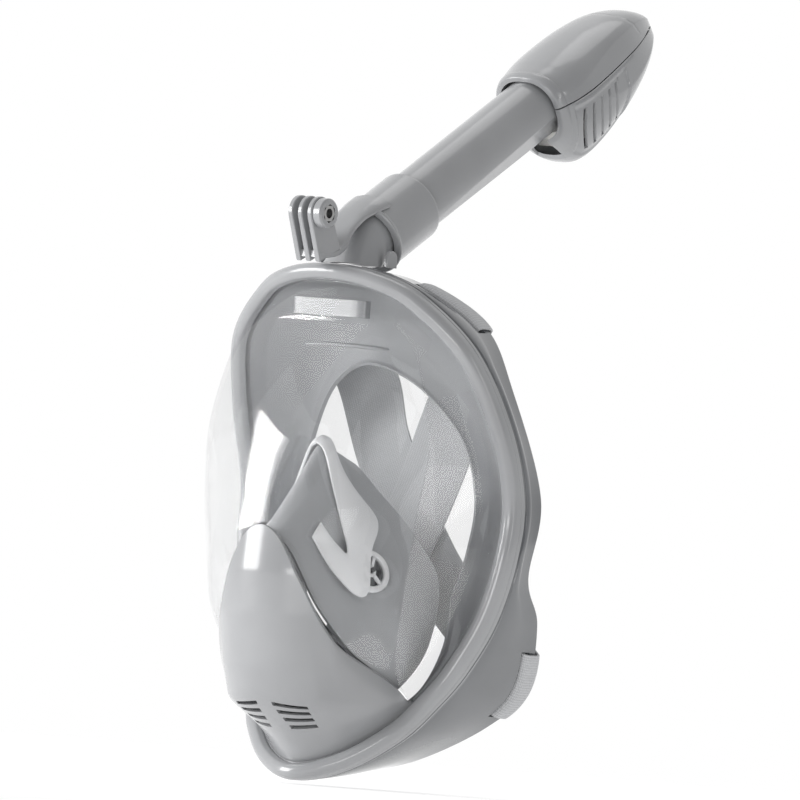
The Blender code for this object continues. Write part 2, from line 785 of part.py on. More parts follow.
def purge_valve():
    """Exhaust valve in the chin: seat in its housing and a flap on the water side."""
    spoked_seat("purge_valve_seat", PURGE_CENTRE, PURGE_AXIS, PURGE_SEAT_RADIUS, PURGE_OPEN_RADIUS,
                "dark_grey_abs", 4)
    mushroom_flap("purge_flap", PURGE_CENTRE, PURGE_AXIS, PURGE_FLAP_RADIUS)


def air_duct():
    """Clear air channel behind the top of the window, open at both ends."""
    half_x, wall = 24.0, 1.6
    top = MASK_TOP - RIM_WIDTH - 9.5
    rings = []
    for grow, z in (0.0, top - 9.0), (0.0, top), (wall, top), (wall, top - 9.0):
        x, y0, y1 = half_x - grow, -50.5 + grow, -44.0 - grow
        rings.append([(-x, y0, z), (x, y0, z), (x, y1, z), (-x, y1, z)])
    return loop_sweep("air_duct", rings, "clear_polycarbonate")


def forehead_rib():
    """Moulded rib across the forehead part of the skirt."""
    span = np.linspace(-27.0, 27.0, 13)
    front = np.stack([
        np.stack([span, -36.0 + 0.004 * span ** 2, np.full(13, 90.0) - 0.002 * span ** 2], axis=1),
        np.stack([span, -31.0 + 0.004 * span ** 2, np.full(13, 90.5) - 0.002 * span ** 2], axis=1),
    ])
    return thick_grid("forehead_rib", front, front + np.array([0.0, 0.0, -2.4]), "grey_silicone")


def circle_at(along, radius, count=28):
    """Ring of points square to the tube axis."""
    turn = np.linspace(0.0, 2 * math.pi, count, endpoint=False)
    return np.array([in_snorkel(radius * math.sin(t), radius * math.cos(t), along) for t in turn])


def snorkel_socket():
    """Stub on top of the frame that the snorkel pushes onto, with a groove for its ring."""
    count = 28
    turn = np.linspace(0.0, 2 * math.pi, count, endpoint=False)

    def foot(half_x, half_y, grow):
        x = half_x * np.sin(turn)
        y = -33.0 - half_y * np.cos(turn)
        z = MASK_TOP + 0.9 + grow - 0.004 * x * x
        return np.stack([x, y, z], axis=1)

    groove = (6.0, 6.4, 8.6, 9.0)
    rings = [
        foot(18.5, 8.5, 0.0),
        circle_at(-1.0, STUB_RADIUS),
        circle_at(groove[0], STUB_RADIUS),
        circle_at(groove[1], STUB_RADIUS - 1.3),
        circle_at(groove[2], STUB_RADIUS - 1.3),
        circle_at(groove[3], STUB_RADIUS),
        circle_at(STUB_LENGTH, STUB_RADIUS - 0.3),
        circle_at(STUB_LENGTH + 0.5, STUB_BORE + 0.8),
        circle_at(STUB_LENGTH, STUB_BORE),
        circle_at(0.0, STUB_BORE),
        foot(14.5, 5.5, 0.0),
    ]
    return loop_sweep("snorkel_socket", rings, "gloss_grey_abs")


def socket_o_ring():
    """Sealing ring in the groove of the stub."""
    section = [(STUB_RADIUS - 0.2 + RING_SECTION * math.cos(t), 7.5 + RING_SECTION * math.sin(t))
               for t in np.linspace(0.0, 2 * math.pi, 6, endpoint=False)]
    return turned("socket_o_ring", section, AXIS_FOOT, AXIS_ALONG, "black_silicone", 24)


def release_tabs():
    """Rounded ears beside the stub that hold the snorkel sleeve."""
    for side, sign in ("right", 1), ("left", -1):
        outline = []
        for t in np.linspace(math.pi, 0.0, 9):
            outline.append((-29.0 + 4.0 * math.cos(t), 135.5 + 4.0 * math.sin(t)))
        outline = [(-33.0, 130.6)] + outline + [(-25.0, 130.6)]
        rings = []
        for x in (20.6, 23.2):
            rings.append([(sign * x, y, z) for y, z in outline])
        loop_sweep("release_tab_" + side, rings, "gloss_grey_abs", (sign * 21.9, -29.0, 130.6), False)


def prong_outline():
    """Side view of one camera prong: round end, straight flanks and a wider foot."""
    foot = np.array([-62.0, 134.5])
    rise = np.array([-0.42, 0.907])
    flank = np.array([rise[1], -rise[0]])
    centre = foot + rise * PRONG_RISE
    outline = [foot - flank * 10.0, foot + flank * 10.0]
    for t in np.linspace(0.0, math.pi, 13):
        outline.append(centre + flank * PRONG_END_RADIUS * math.cos(t)
                       + rise * PRONG_END_RADIUS * math.sin(t))
    return outline, centre


def scratch(name, verts, faces):
    """A body that only takes part in joining or cutting."""
    piece = make(name, verts, faces, "gloss_grey_abs", smooth=False)
    piece.hide_render = True
    piece.display_type = "WIRE"
    return piece


def combine(target, tool, operation):
    """Join or cut with another body and remove that body."""
    change = target.modifiers.new("change", "BOOLEAN")
    change.operation = operation
    change.solver = "EXACT"
    change.object = tool
    bpy.context.view_layer.update()
    result = bpy.data.meshes.new_from_object(
        target.evaluated_get(bpy.context.evaluated_depsgraph_get()))
    target.modifiers.clear()
    target.data = result
    bpy.data.objects.remove(tool, do_unlink=True)


def prism(name, outline, axis_index, low, high):
    """Straight body from an outline in the two other directions."""
    verts = []
    for level in (low, high):
        for p, q in outline:
            point = [p, q]
            point.insert(axis_index, level)
            verts.append(point)
    n = len(outline)
    faces = [tuple(range(n)), tuple(range(2 * n - 1, n - 1, -1))]
    for j in range(n):
        k = (j + 1) % n
        faces.append((j, j + n, k + n, k))
    return scratch(name, verts, faces)


def camera_mount():
    """Sleeve that pushes over the stub, with a three-prong camera mount in front."""
    bore = STUB_RADIUS + SLIDE_CLEARANCE
    wide = TUBE_RADIUS + TUBE_CLEARANCE
    rings = [
        circle_at(SLEEVE_START, bore),
        circle_at(SLEEVE_START, SLEEVE_RADIUS + 0.6),
        circle_at(SLEEVE_START + 1.6, SLEEVE_RADIUS + 1.2),
        circle_at(SLEEVE_START + 3.2, SLEEVE_RADIUS + 0.2),
        circle_at(SLEEVE_END - 1.0, SLEEVE_RADIUS),
        circle_at(SLEEVE_END, SLEEVE_RADIUS - 0.8),
        circle_at(SLEEVE_END, wide),
        circle_at(TUBE_START - GAP, wide),
        circle_at(TUBE_START - GAP, bore),
    ]
    mount = loop_sweep("camera_mount", rings, "gloss_grey_abs", in_snorkel(0.0, 0.0, SLEEVE_START))
    half_x = PRONG_PITCH + 0.5 * PRONG_THICK
    plate = [(-73.0, 132.6), (-46.5, 132.6), (-46.5, 140.0), (-42.0, 150.0), (-36.0, 159.0),
             (-30.2, 160.6), (-27.0, 162.3), (-25.5, 165.5), (-35.0, 165.0), (-44.0, 158.5),
             (-51.0, 148.0), (-56.0, 137.5), (-73.0, 136.2)]
    body = prism("plate", plate, 0, -half_x, half_x)
    combine(mount, body, "UNION")
    outline, centre = prong_outline()
    for k in (-1, 0, 1):
        x = k * PRONG_PITCH
        prong = prism("prong", outline, 0, x - 0.5 * PRONG_THICK, x + 0.5 * PRONG_THICK)
        combine(mount, prong, "UNION")
    round_end = [(centre[0] + BOSS_RADIUS * math.cos(t), centre[1] + BOSS_RADIUS * math.sin(t))
                 for t in np.linspace(0.0, 2 * math.pi, 24, endpoint=False)]
    boss = prism("boss", round_end, 0, half_x - 1.0, half_x + BOSS_LENGTH)
    combine(mount, boss, "UNION")
    hole = [(centre[0] + PRONG_HOLE_RADIUS * math.cos(t), centre[1] + PRONG_HOLE_RADIUS * math.sin(t))
            for t in np.linspace(0.0, 2 * math.pi, 16, endpoint=False)]
    combine(mount, prism("hole", hole, 0, -40.0, 40.0), "DIFFERENCE")
    pocket = hexagon(centre, NUT_ACROSS_FLATS + 2 * GAP)
    depth = half_x + BOSS_LENGTH - NUT_THICK - 0.6
    combine(mount, prism("pocket", pocket, 0, depth, 60.0), "DIFFERENCE")
    for polygon in mount.data.polygons:
        polygon.use_smooth = False
    nut = prism("camera_nut", hexagon(centre, NUT_ACROSS_FLATS), 0, depth + GAP, depth + GAP + NUT_THICK)
    nut.hide_render = False
    nut.display_type = "TEXTURED"
    combine(nut, prism("thread", hole, 0, -40.0, 60.0), "DIFFERENCE")
    nut.data.materials.clear()
    nut.data.materials.append(material("steel"))
    return mount


def hexagon(centre, flats):
    """Corners of a hexagon from its size across flats."""
    reach = 0.5 * flats / math.cos(math.pi / 6)
    return [(centre[0] + reach * math.cos(t), centre[1] + reach * math.sin(t))
            for t in np.linspace(0.0, 2 * math.pi, 6, endpoint=False)]


def tube_section(along, radius, count=30):
    """Round tube with two flats along its underside that grow toward the head."""
    share = np.clip((along - SLEEVE_END) / (HEAD_START - SLEEVE_END), 0.0, 1.0)
    flat = radius * (1.0 - 0.1 * share)
    points = []
    for t in np.linspace(0.0, 2 * math.pi, count, endpoint=False):
        reach = radius
        for middle in (math.radians(125.0), math.radians(235.0)):
            lean = math.cos(t - middle)
            if lean > 0.1:
                reach = min(reach, flat / lean)
        points.append(in_snorkel(reach * math.sin(t), reach * math.cos(t), along))
    return np.array(points)


def snorkel_tube():
    """Breathing tube from the sleeve up into the head, open at both ends."""
    outer_at = [TUBE_START, SLEEVE_END, 0.5 * (SLEEVE_END + HEAD_START), HEAD_START, TUBE_MOUTH]
    outer = [tube_section(a, TUBE_RADIUS) for a in outer_at]
    inner = [tube_section(a, TUBE_RADIUS - TUBE_WALL) for a in reversed(outer_at)]
    start = in_snorkel(0.0, 0.0, TUBE_START)
    return loop_sweep("snorkel_tube", outer + inner, "gloss_grey_abs", start)


def tube_divider():
    """Thin wall inside the tube that parts the incoming from the outgoing air."""
    level = -3.0
    half = math.sqrt((0.88 * (TUBE_RADIUS - TUBE_WALL)) ** 2 - (abs(level) + 1.0) ** 2) - GAP
    low, high = TUBE_START + 5.0, TUBE_MOUTH - 12.0
    rings = []
    for along in (low, high):
        corners = [(-half, level - 0.6), (half, level - 0.6), (half, level + 0.6), (-half, level + 0.6)]
        rings.append([in_snorkel(x, up, along) for x, up in corners])
    return loop_sweep("tube_divider", rings, "gloss_grey_abs", in_snorkel(0.0, level, low), False)


def head_size(along):
    """Top, bottom and half width of the head at a distance along the axis."""
    at = np.array([0.0, 3.0, 7.0, 12.0, 17.0, 26.0, 41.0, 56.0, 72.0, 86.0, 97.0, 103.0, 106.0])
    at = at / 106.0 * HEAD_LENGTH + HEAD_START
    scale = HEAD_HALF_WIDTH / 27.0
    top = np.array([19.2, 19.8, 20.2, 20.5, 21.0, 21.5, 21.8, 21.5, 19.8, 15.5, 9.0, 3.0, -2.0])
    low = np.array([19.6, 24.0, 31.0, 36.0, 38.0, 37.5, 34.5, 30.0, 24.0, 18.5, 13.0, 8.0, 4.5])
    wide = np.array([20.0, 21.5, 23.5, 25.0, 26.0, 27.0, 27.0, 26.0, 23.0, 18.0, 12.0, 6.5, 1.5])
    return tuple(np.interp(along, at, values) * s for values, s in
                 ((top, 1.0), (-low, 1.0), (wide, scale)))


def head_grid(alongs, turns, shrink, back):
    """Points of the head surface, moved in by a wall when it is the inner side."""
    rows = []
    for along in alongs:
        share = (along - HEAD_START) / HEAD_LENGTH
        at = along - back * share
        top, low, wide = head_size(at)
        top, low, wide = top - shrink, low + shrink, wide - shrink
        if top - low < 1.0:
            middle = 0.5 * (top + low)
            top, low = middle + 0.5, middle - 0.5
        wide = max(wide, 0.6)
        row = []
        ends = float(np.clip((share - 0.8) / 0.15, 0.0, 1.0))
        centre = turns[len(turns) // 2] if len(turns) % 2 else 0.5 * (turns[0] + turns[-1])
        for t in turns:
            t = centre + (t - centre) * (1.0 - 0.05 * ends)
            s, c = math.sin(t), math.cos(t)
            reach = (abs(s) ** 2.4 + abs(c) ** 2.4) ** (-1.0 / 2.4)
            split = float(np.interp(share, (0.9, 0.97, 1.0), (0.0, -1.8, -3.25)))
            up = reach * c * (top - split) if c > 0 else reach * c * (split - low)
            row.append(in_snorkel(reach * s * wide, split + up, at))
        rows.append(row)
    return np.array(rows)


def head_pieces():
    """Head of the snorkel: smooth hood above, vented housing below."""
    alongs = [HEAD_START + a / 106.0 * HEAD_LENGTH for a in HEAD_STEPS]
    part_line = math.radians(84.0)
    slack = math.radians(1.6)
    over = np.linspace(-part_line + slack, part_line - slack, 10)
    lower = [part_line + slack, 1.68, 2.0, 2.4, 2.75, math.pi]
    under = np.array(lower + [2 * math.pi - t for t in lower[-2::-1]])
    back = 3.2
    for name, turns, mat in (("head_cap", over, "gloss_grey_abs"),
                             ("head_housing", under, "gloss_grey_abs")):
        outer = head_grid(alongs, turns, 0.0, 0.0)
        inner = head_grid(alongs, turns, HEAD_WALL, back)
        keep = np.ones((outer.shape[0] - 1, outer.shape[1] - 1), bool)
        if name == "head_housing":
            for row in LOUVRE_ROWS[:LOUVRES]:
                keep[row, 1:3] = False
                keep[row, -3:-1] = False
            keep[0:2, 4:6] = False
        thick_grid(name, outer, inner, mat, keep=keep, origin=in_snorkel(0.0, 0.0, HEAD_START))


def float_parts():
    """Float valve in the head: a lever on a pin, a float on one end and a seal on the other."""
    pivot = in_snorkel(0.0, PIVOT_UP, PIVOT_ALONG)

    def slab(name, outline, low, high, mat, origin):
        rings = [[in_snorkel(x, up, along) for up, along in outline] for x in (low, high)]
        loop_sweep(name, rings, mat, origin, False)

    mouth = TUBE_MOUTH
    lever = [
        (12.0, mouth + 5.6),
        (12.0, mouth + 7.4),
        (PIVOT_UP + 2.0, mouth + 10.6),
        (PIVOT_UP - 2.6, mouth + 10.6),
        (PIVOT_UP - 6.0, mouth - 3.2),
        (PIVOT_UP - 3.6, mouth - 3.2),
        (PIVOT_UP - 1.6, mouth + 5.2),
        (PIVOT_UP + 2.0, mouth + 5.6),
    ]
    slab("float_lever", lever, -4.0, 4.0, "translucent_grey_plastic", pivot)
    pin_hole = [(PIVOT_UP + 1.5 * math.cos(t), PIVOT_ALONG + 1.5 * math.sin(t))
                for t in np.linspace(0.0, 2 * math.pi, 12, endpoint=False)]
    cutter_rings = [[in_snorkel(x, up, along) for up, along in pin_hole] for x in (-9.0, 9.0)]
    cutter = loop_sweep("pin_hole", cutter_rings, "steel", closed=False)
    combine(bpy.data.objects["float_lever"], cutter, "DIFFERENCE")
    lever_piece = bpy.data.objects["float_lever"]
    for polygon in lever_piece.data.polygons:
        polygon.use_smooth = False
    block = [(PIVOT_UP + 1.2, mouth - 28.0), (PIVOT_UP + 1.2, mouth - 4.0),
             (PIVOT_UP - 7.5, mouth - 4.0), (PIVOT_UP - 7.5, mouth - 28.0)]
    slab("float_block", block, -11.0, 11.0, "white_foam", pivot)
    edge = TUBE_RADIUS - 0.9
    seal = [(0.3, 2.4), (edge - 1.0, 2.4), (edge, 3.0), (edge, 4.4), (edge - 1.0, 5.2), (0.3, 5.2)]
    turned("float_seal", seal, in_snorkel(0.0, 0.0, mouth), AXIS_ALONG, "black_silicone", 28,
           origin=pivot, closed=False)
    pin = [(1.15 * math.cos(t), 1.15 * math.sin(t)) for t in np.linspace(0.0, 2 * math.pi, 12, endpoint=False)]
    rings = [[in_snorkel(x, PIVOT_UP + a, PIVOT_ALONG + b) for a, b in pin] for x in (-PIN_HALF_LENGTH, PIN_HALF_LENGTH)]
    loop_sweep("float_pin", rings, "steel", pivot, False)


def smooth_rows(rows, steps):
    """Rows of points with rounded runs between them; steps tells how many in each run."""
    rows = np.asarray(rows, float)
    padded = np.concatenate([2 * rows[:1] - rows[1:2], rows, 2 * rows[-1:] - rows[-2:-1]])
    dense = []
    for k in range(1, len(padded) - 2):
        p0, p1, p2, p3 = padded[k - 1], padded[k], padded[k + 1], padded[k + 2]
        gap = np.linalg.norm(p2 - p1)
        before = (p2 - p0) * min(1.0, gap / max(1e-6, np.linalg.norm(p1 - p0)))
        after = (p3 - p1) * min(1.0, gap / max(1e-6, np.linalg.norm(p3 - p2)))
        for t in np.linspace(0.0, 1.0, steps[k - 1], endpoint=False):
            h = t * t * (3 - 2 * t)
            u = t * (1 - t) * (1 - t)
            v = t * t * (t - 1)
            dense.append(p1 * (1 - h) + p2 * h + 0.5 * before * u + 0.5 * after * v)
    dense.append(rows[-1])
    return np.array(dense)


def bar_frame(stations):
    """Slot middle, outward and rearward directions at even steps across the strap."""
    front_line = mirror_loop(rim_half())
    rear_line = mirror_loop(band_rear_half())
    corner = off_rim(front_line, True, 0.15, CLAMP_DEPTH + GAP + 1.0)
    first, last = stations
    run = np.linalg.norm(rear_line[last] - rear_line[first])
    margin = 0.5 * (1.0 - STRAP_WIDTH / run) * (last - first)
    at = np.linspace(first + margin, last - margin, LEVELS)
    base = np.floor(at).astype(int)
    part = (at - base)[:, None]

    def mix(values):
        return values[base] * (1 - part) + values[base + 1] * part

    rear, front = mix(rear_line), mix(corner)
    back = rear - front
    back /= np.linalg.norm(back, axis=1, keepdims=True)
    out = mix(plan_normals(rear_line, True))
    out /= np.linalg.norm(out, axis=1, keepdims=True)
    slot = rear - back * (STRAP_BAR + 0.5 * STRAP_SLOT) - out * 0.5 * BAND_WALL
    return slot, out, back


def hang_depth(z):
    """How far behind the face the straps hang at a height."""
    return np.interp(z, (-70.0, -44.0, -18.0, 0.0, 20.0, 62.0), (46.0, 41.0, 35.0, 33.0, 32.0, 26.0))


def main_run(shift):
    """Points of one strap from its upper bar over the crossing to the opposite lower bar."""
    reach = STRAP_BAR + 0.5 * STRAP_SLOT
    slot, out, back = bar_frame(UPPER_SLOT_STATIONS)
    rows = [slot - out * 4.6 + back * (reach + 1.8), slot - out * 8.5 + back * (reach + 5.5)]
    low_slot, low_out, low_back = bar_frame(LOWER_SLOT_STATIONS)
    flip = np.array([-1.0, 1.0, 1.0])
    low_slot, low_out, low_back = low_slot * flip, low_out * flip, low_back * flip
    spread = np.linspace(0.5, -0.5, LEVELS)[:, None] * STRAP_WIDTH
    centre = np.array(STRAP_MIDDLE)
    along = np.gradient(centre, axis=0)
    for point, direction in zip(centre, along):
        wide = np.array([-direction[2], 0.0, direction[0]])
        wide /= -np.linalg.norm(wide)
        row = point + spread * wide
        row[:, 1] = hang_depth(row[:, 2]) + shift
        rows.append(row)
    if np.linalg.norm(low_slot[0] - rows[-1][0]) > np.linalg.norm(low_slot[-1] - rows[-1][0]):
        low_slot, low_out, low_back = low_slot[::-1], low_out[::-1], low_back[::-1]
    rows.append(low_slot - low_out * 9.5 + low_back * (reach + 3.0))
    rows.append(low_slot - low_out * 4.6 + low_back * (reach + 1.8))
    if np.linalg.norm(rows[1][0] - rows[2][0]) > np.linalg.norm(rows[1][0] - rows[2][-1]):
        for k in (0, 1):
            rows[k] = rows[k][::-1]
        slot, out, back = slot[::-1], out[::-1], back[::-1]
    dense = smooth_rows(rows, [1, 5, 3, 3, 3, 3, 6, 1])
    return dense, (slot, out, back), (low_slot, low_out, low_back)


def fold(frame):
    """Rows round the bar, from the outside over the slot to the inside."""
    slot, out, back = frame
    reach = STRAP_BAR + 0.5 * STRAP_SLOT
    places = ((-0.6, reach + 4.4), (1.5, reach + 2.9), (2.6, reach + 0.4), (2.7, reach - 2.5), (2.7, 1.6),
              (1.8, -0.5), (0.0, -1.3), (-1.8, -0.5), (-2.7, 1.6), (-2.7, reach - 2.5),
              (-3.1, reach - 0.2))
    return [slot + out * a + back * b for a, b in places]


def strap_parts():
    """Strap grids with folded ends, and the grids of the hook tape between the layers."""
    found = []
    for name, sign, shift in ("right_down", 1.0, -1.2), ("left_down", -1.0, 1.2):
        dense, upper, lower = main_run(shift)
        lift = grid_normals(dense, False)
        if np.dot(lift[1, 1], upper[1][1] + upper[2][1]) < 0:
            lift = -lift
        length = np.r_[0.0, np.cumsum(np.linalg.norm(np.diff(dense[:, 1], axis=0), axis=1))]
        head = max(4, int(np.searchsorted(length, TAB_LENGTH)))
        tail = min(len(length) - 5, int(np.searchsorted(length, length[-1] - TAB_LENGTH)))
        lower_lift = lift if np.dot(lift[-2, 1], lower[1][1] + lower[2][1]) > 0 else -lift
        far = 2 * (0.5 * STRAP_THICK + TAPE_GAP) + TAB_THICK
        free_top = (dense + lift * far)[head:0:-1]
        free_low = (dense + lower_lift * far)[-2:tail - 2:-1]
        grid = list(free_top) + fold(upper) + list(dense) + fold(lower)[::-1] + list(free_low)
        tape_top = (dense + lift * 0.5 * far)[1:head]
        tape_low = (dense + lower_lift * 0.5 * far)[tail + 1:-1]
        turn = np.array([sign, 1.0, 1.0])
        found.append((name, np.array(grid) * turn, tape_top * turn, tape_low * turn, lift, lower_lift, turn,
                      head, tail))
    return found


def straps():
    """Two elastic straps that cross behind the head, with hook tape in their folded ends."""
    for name, grid, tape_top, tape_low, lift, low_lift, turn, head, tail in strap_parts():
        normal = grid_normals(grid, False)
        half = 0.5 * STRAP_THICK
        thick_grid("strap_" + name, grid + normal * half, grid - normal * half, "grey_webbing")
        side = name.split("_")[0]
        other = "left" if side == "right" else "right"
        for label, tape, way in ("upper_" + side, tape_top, lift[1:head]), (
                "lower_" + other, tape_low, low_lift[tail + 1:-1]):
            away = way * turn * 0.5 * TAB_THICK
            thick_grid("hook_tab_" + label, tape + away, tape - away, "black_hook_tape")


def cross_patch():
    """Sewn patch behind the crossing of the straps."""
    span = np.linspace(-1.0, 1.0, 7)
    z = -1.0 + 17.0 * span[:, None] + 0.0 * span[None, :]
    x = 17.0 * span[None, :] * (1.0 - 0.12 * span[:, None] ** 4)
    y = hang_depth(z) + 1.2 + 0.5 * STRAP_THICK + GAP
    grid = np.stack([x, y, z], axis=2)
    thick_grid("strap_cross_patch", grid, grid + np.array([0.0, 1.4, 0.0]), "grey_webbing")


def build():
    """Make every piece of the mask."""
    clear_scene()
    front_rim()
    side_frame()
    lens()
    chin_cover()
    face_skirt()
    nose_pocket()
    inlet_valves()
    pocket_bracket()
    exhaust_housing()
    purge_valve()
    air_duct()
    forehead_rib()
    snorkel_socket()
    socket_o_ring()
    release_tabs()
    camera_mount()
    snorkel_tube()
    tube_divider()
    head_pieces()
    float_parts()
    straps()
    cross_patch()


build()
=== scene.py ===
import math

import bpy
import numpy as np
from mathutils import Matrix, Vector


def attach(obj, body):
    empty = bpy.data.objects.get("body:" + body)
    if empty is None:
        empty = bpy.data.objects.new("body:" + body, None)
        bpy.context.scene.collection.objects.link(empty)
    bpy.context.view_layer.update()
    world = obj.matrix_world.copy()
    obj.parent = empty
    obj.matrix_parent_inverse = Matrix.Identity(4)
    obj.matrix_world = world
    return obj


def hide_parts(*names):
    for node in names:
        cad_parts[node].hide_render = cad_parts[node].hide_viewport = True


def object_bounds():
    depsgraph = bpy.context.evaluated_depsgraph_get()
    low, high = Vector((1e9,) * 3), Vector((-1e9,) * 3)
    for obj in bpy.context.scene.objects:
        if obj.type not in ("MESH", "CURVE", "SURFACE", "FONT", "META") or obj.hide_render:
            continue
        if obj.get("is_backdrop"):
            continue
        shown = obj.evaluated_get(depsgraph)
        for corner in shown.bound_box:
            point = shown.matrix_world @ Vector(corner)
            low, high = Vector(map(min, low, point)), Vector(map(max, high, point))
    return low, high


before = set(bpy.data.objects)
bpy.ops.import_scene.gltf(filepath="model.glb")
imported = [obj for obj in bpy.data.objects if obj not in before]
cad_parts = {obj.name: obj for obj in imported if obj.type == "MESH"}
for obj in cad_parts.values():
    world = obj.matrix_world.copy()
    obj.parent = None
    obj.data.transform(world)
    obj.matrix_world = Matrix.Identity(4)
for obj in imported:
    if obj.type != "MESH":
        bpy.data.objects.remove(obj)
cad_low, cad_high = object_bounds()

# Camera, floor and light of a small studio. A long lens stands level with the mask, turned to its
# front right corner, and is rolled a little so that the mask leans as it does when it is held up.
VIEW_TURN = math.radians(38.0)
VIEW_ROLL = math.radians(4.4)
VIEW_TARGET = np.array([0.0, 0.0158, 0.0628])
VIEW_WIDTH = 0.416
VIEW_DISTANCE = 18.0
SENSOR = 36.0

right = np.array([math.cos(VIEW_TURN), math.sin(VIEW_TURN), 0.0])
back = np.array([math.sin(VIEW_TURN), -math.cos(VIEW_TURN), 0.0])
up = np.array([0.0, 0.0, 1.0])
camera_x = right * math.cos(VIEW_ROLL) + up * math.sin(VIEW_ROLL)
camera_y = up * math.cos(VIEW_ROLL) - right * math.sin(VIEW_ROLL)
place = np.eye(4)
place[:3, 0], place[:3, 1], place[:3, 2] = camera_x, camera_y, back
place[:3, 3] = VIEW_TARGET + back * VIEW_DISTANCE
camera = bpy.data.objects.new("camera", bpy.data.cameras.new("camera"))
camera.data.sensor_width = SENSOR
camera.data.lens = SENSOR * VIEW_DISTANCE / VIEW_WIDTH
camera.data.clip_start, camera.data.clip_end = 0.05, 60.0
camera.matrix_world = Matrix(place.tolist())
bpy.context.scene.collection.objects.link(camera)
bpy.context.scene.camera = camera


def linear(code):
    """Linear RGBA from an sRGB hex value: v/12.92 below 0.04045, else ((v+0.055)/1.055)^2.4."""
    value = np.array([int(code[k:k + 2], 16) for k in (1, 3, 5)]) / 255.0
    value = np.where(value <= 0.04045, value / 12.92, ((value + 0.055) / 1.055) ** 2.4)
    return (*value.tolist(), 1.0)


def node(tree, kind, inputs=(), **settings):
    """Adds one node: settings are its own fields, inputs are (socket, value or output socket)."""
    made = tree.nodes.new("ShaderNode" + kind)
    for name, value in settings.items():
        setattr(made, name, value)
    for name, value in inputs:
        if isinstance(value, bpy.types.NodeSocket):
            tree.links.new(value, made.inputs[name])
        else:
            made.inputs[name].default_value = value
    return made


def blank(name):
    """A new material with its node tree, its shader and its output."""
    made = bpy.data.materials.new(name)
    made.use_nodes = True
    tree = made.node_tree
    tree.nodes.clear()
    shader = node(tree, "BsdfPrincipled")
    node(tree, "OutputMaterial", [("Surface", shader.outputs[0])])
    return made, tree, shader


def noise(tree, size, detail):
    """Soft noise of a real size in metres, in the piece's own coordinates."""
    spot = node(tree, "TexCoord").outputs["Object"]
    return node(tree, "TexNoise", [("Vector", spot), ("Scale", 1 / size), ("Detail", detail)]).outputs[0]


def round_cells(tree, size):
    """Round cells of a real size in metres, by distance to their middles."""
    spot = node(tree, "TexCoord").outputs["Object"]
    return node(tree, "TexVoronoi", [("Vector", spot), ("Scale", 1 / size)]).outputs[0]


def colour_by(tree, shader, pattern, dark, light, low=0.0, high=1.0):
    """Base colour that runs from dark to light while the pattern runs from low to high."""
    ramp = node(tree, "ValToRGB", [("Fac", pattern)])
    first, last = ramp.color_ramp.elements
    first.position, last.position = low, high
    first.color, last.color = linear(dark), linear(light)
    tree.links.new(ramp.outputs[0], shader.inputs["Base Color"])


def rough_by(tree, shader, pattern, least, most, low=0.0, high=1.0):
    """Roughness that runs from least to most while the pattern runs from low to high."""
    span = node(tree, "MapRange", [("Value", pattern), ("From Min", low), ("From Max", high),
                                   ("To Min", least), ("To Max", most)])
    tree.links.new(span.outputs[0], shader.inputs["Roughness"])


def relief_by(tree, shader, pattern, strength, depth):
    """Bump of the pattern, depth in metres."""
    bump = node(tree, "Bump", [("Height", pattern), ("Strength", strength), ("Distance", depth)])
    tree.links.new(bump.outputs[0], shader.inputs["Normal"])


def constants(shader, **values):
    """Sets sockets to constant values; an underscore stands for a space in a socket's name."""
    for name, value in values.items():
        shader.inputs[name.replace("_", " ")].default_value = value


# Studio floor: a round sheet of matt white acrylic, faintly lit from below, with a slight mottle.
floor_paint, tree, shader = blank("matt_white_acrylic")
mottle = node(tree, "TexNoise", [("Vector", node(tree, "TexCoord").outputs["Object"]), ("Scale", 3.0)])
tone = node(tree, "MapRange", [("Value", mottle.outputs[0]), ("To Min", 0.52), ("To Max", 0.56)])
tree.links.new(tone.outputs[0], shader.inputs["Base Color"])
constants(shader, Roughness=0.85, Specular_IOR_Level=0.2, Emission_Color=(1.0, 1.0, 1.0, 1.0),
          Emission_Strength=0.62)
FLOOR_RADIUS, FLOOR_DROP = 1.4, 0.002
turn = np.linspace(0.0, 2 * math.pi, 96, endpoint=False)
disc = np.stack([FLOOR_RADIUS * np.cos(turn), FLOOR_RADIUS * np.sin(turn),
                 np.full(96, cad_low[2] - FLOOR_DROP)], axis=1)
mesh = bpy.data.meshes.new("floor")
mesh.from_pydata(disc.tolist(), [], [list(range(96))])
mesh.materials.append(floor_paint)
floor = bpy.data.objects.new("floor", mesh)
bpy.context.scene.collection.objects.link(floor)
floor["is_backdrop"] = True

# The room: a white wall behind the mask and to its left, fading to a dark side on the right.
WHITE_WALL = (-0.88, 0.46, 0.10)
world = bpy.data.worlds.new("studio")
world.use_nodes = True
sky = world.node_tree
toward = node(sky, "VectorMath", [(0, node(sky, "TexCoord").outputs["Generated"]), (1, WHITE_WALL)],
              operation="DOT_PRODUCT")
glow = node(sky, "MapRange", [("Value", toward.outputs["Value"]), ("From Min", -0.95), ("From Max", 0.7),
                              ("To Min", 0.22), ("To Max", 1.0)])
sky.links.new(glow.outputs[0], sky.nodes["Background"].inputs["Strength"])
sky.nodes["Background"].inputs["Color"].default_value = (1.0, 1.0, 1.0, 1.0)
bpy.context.scene.world = world
bpy.context.scene.view_settings.view_transform = "Standard"


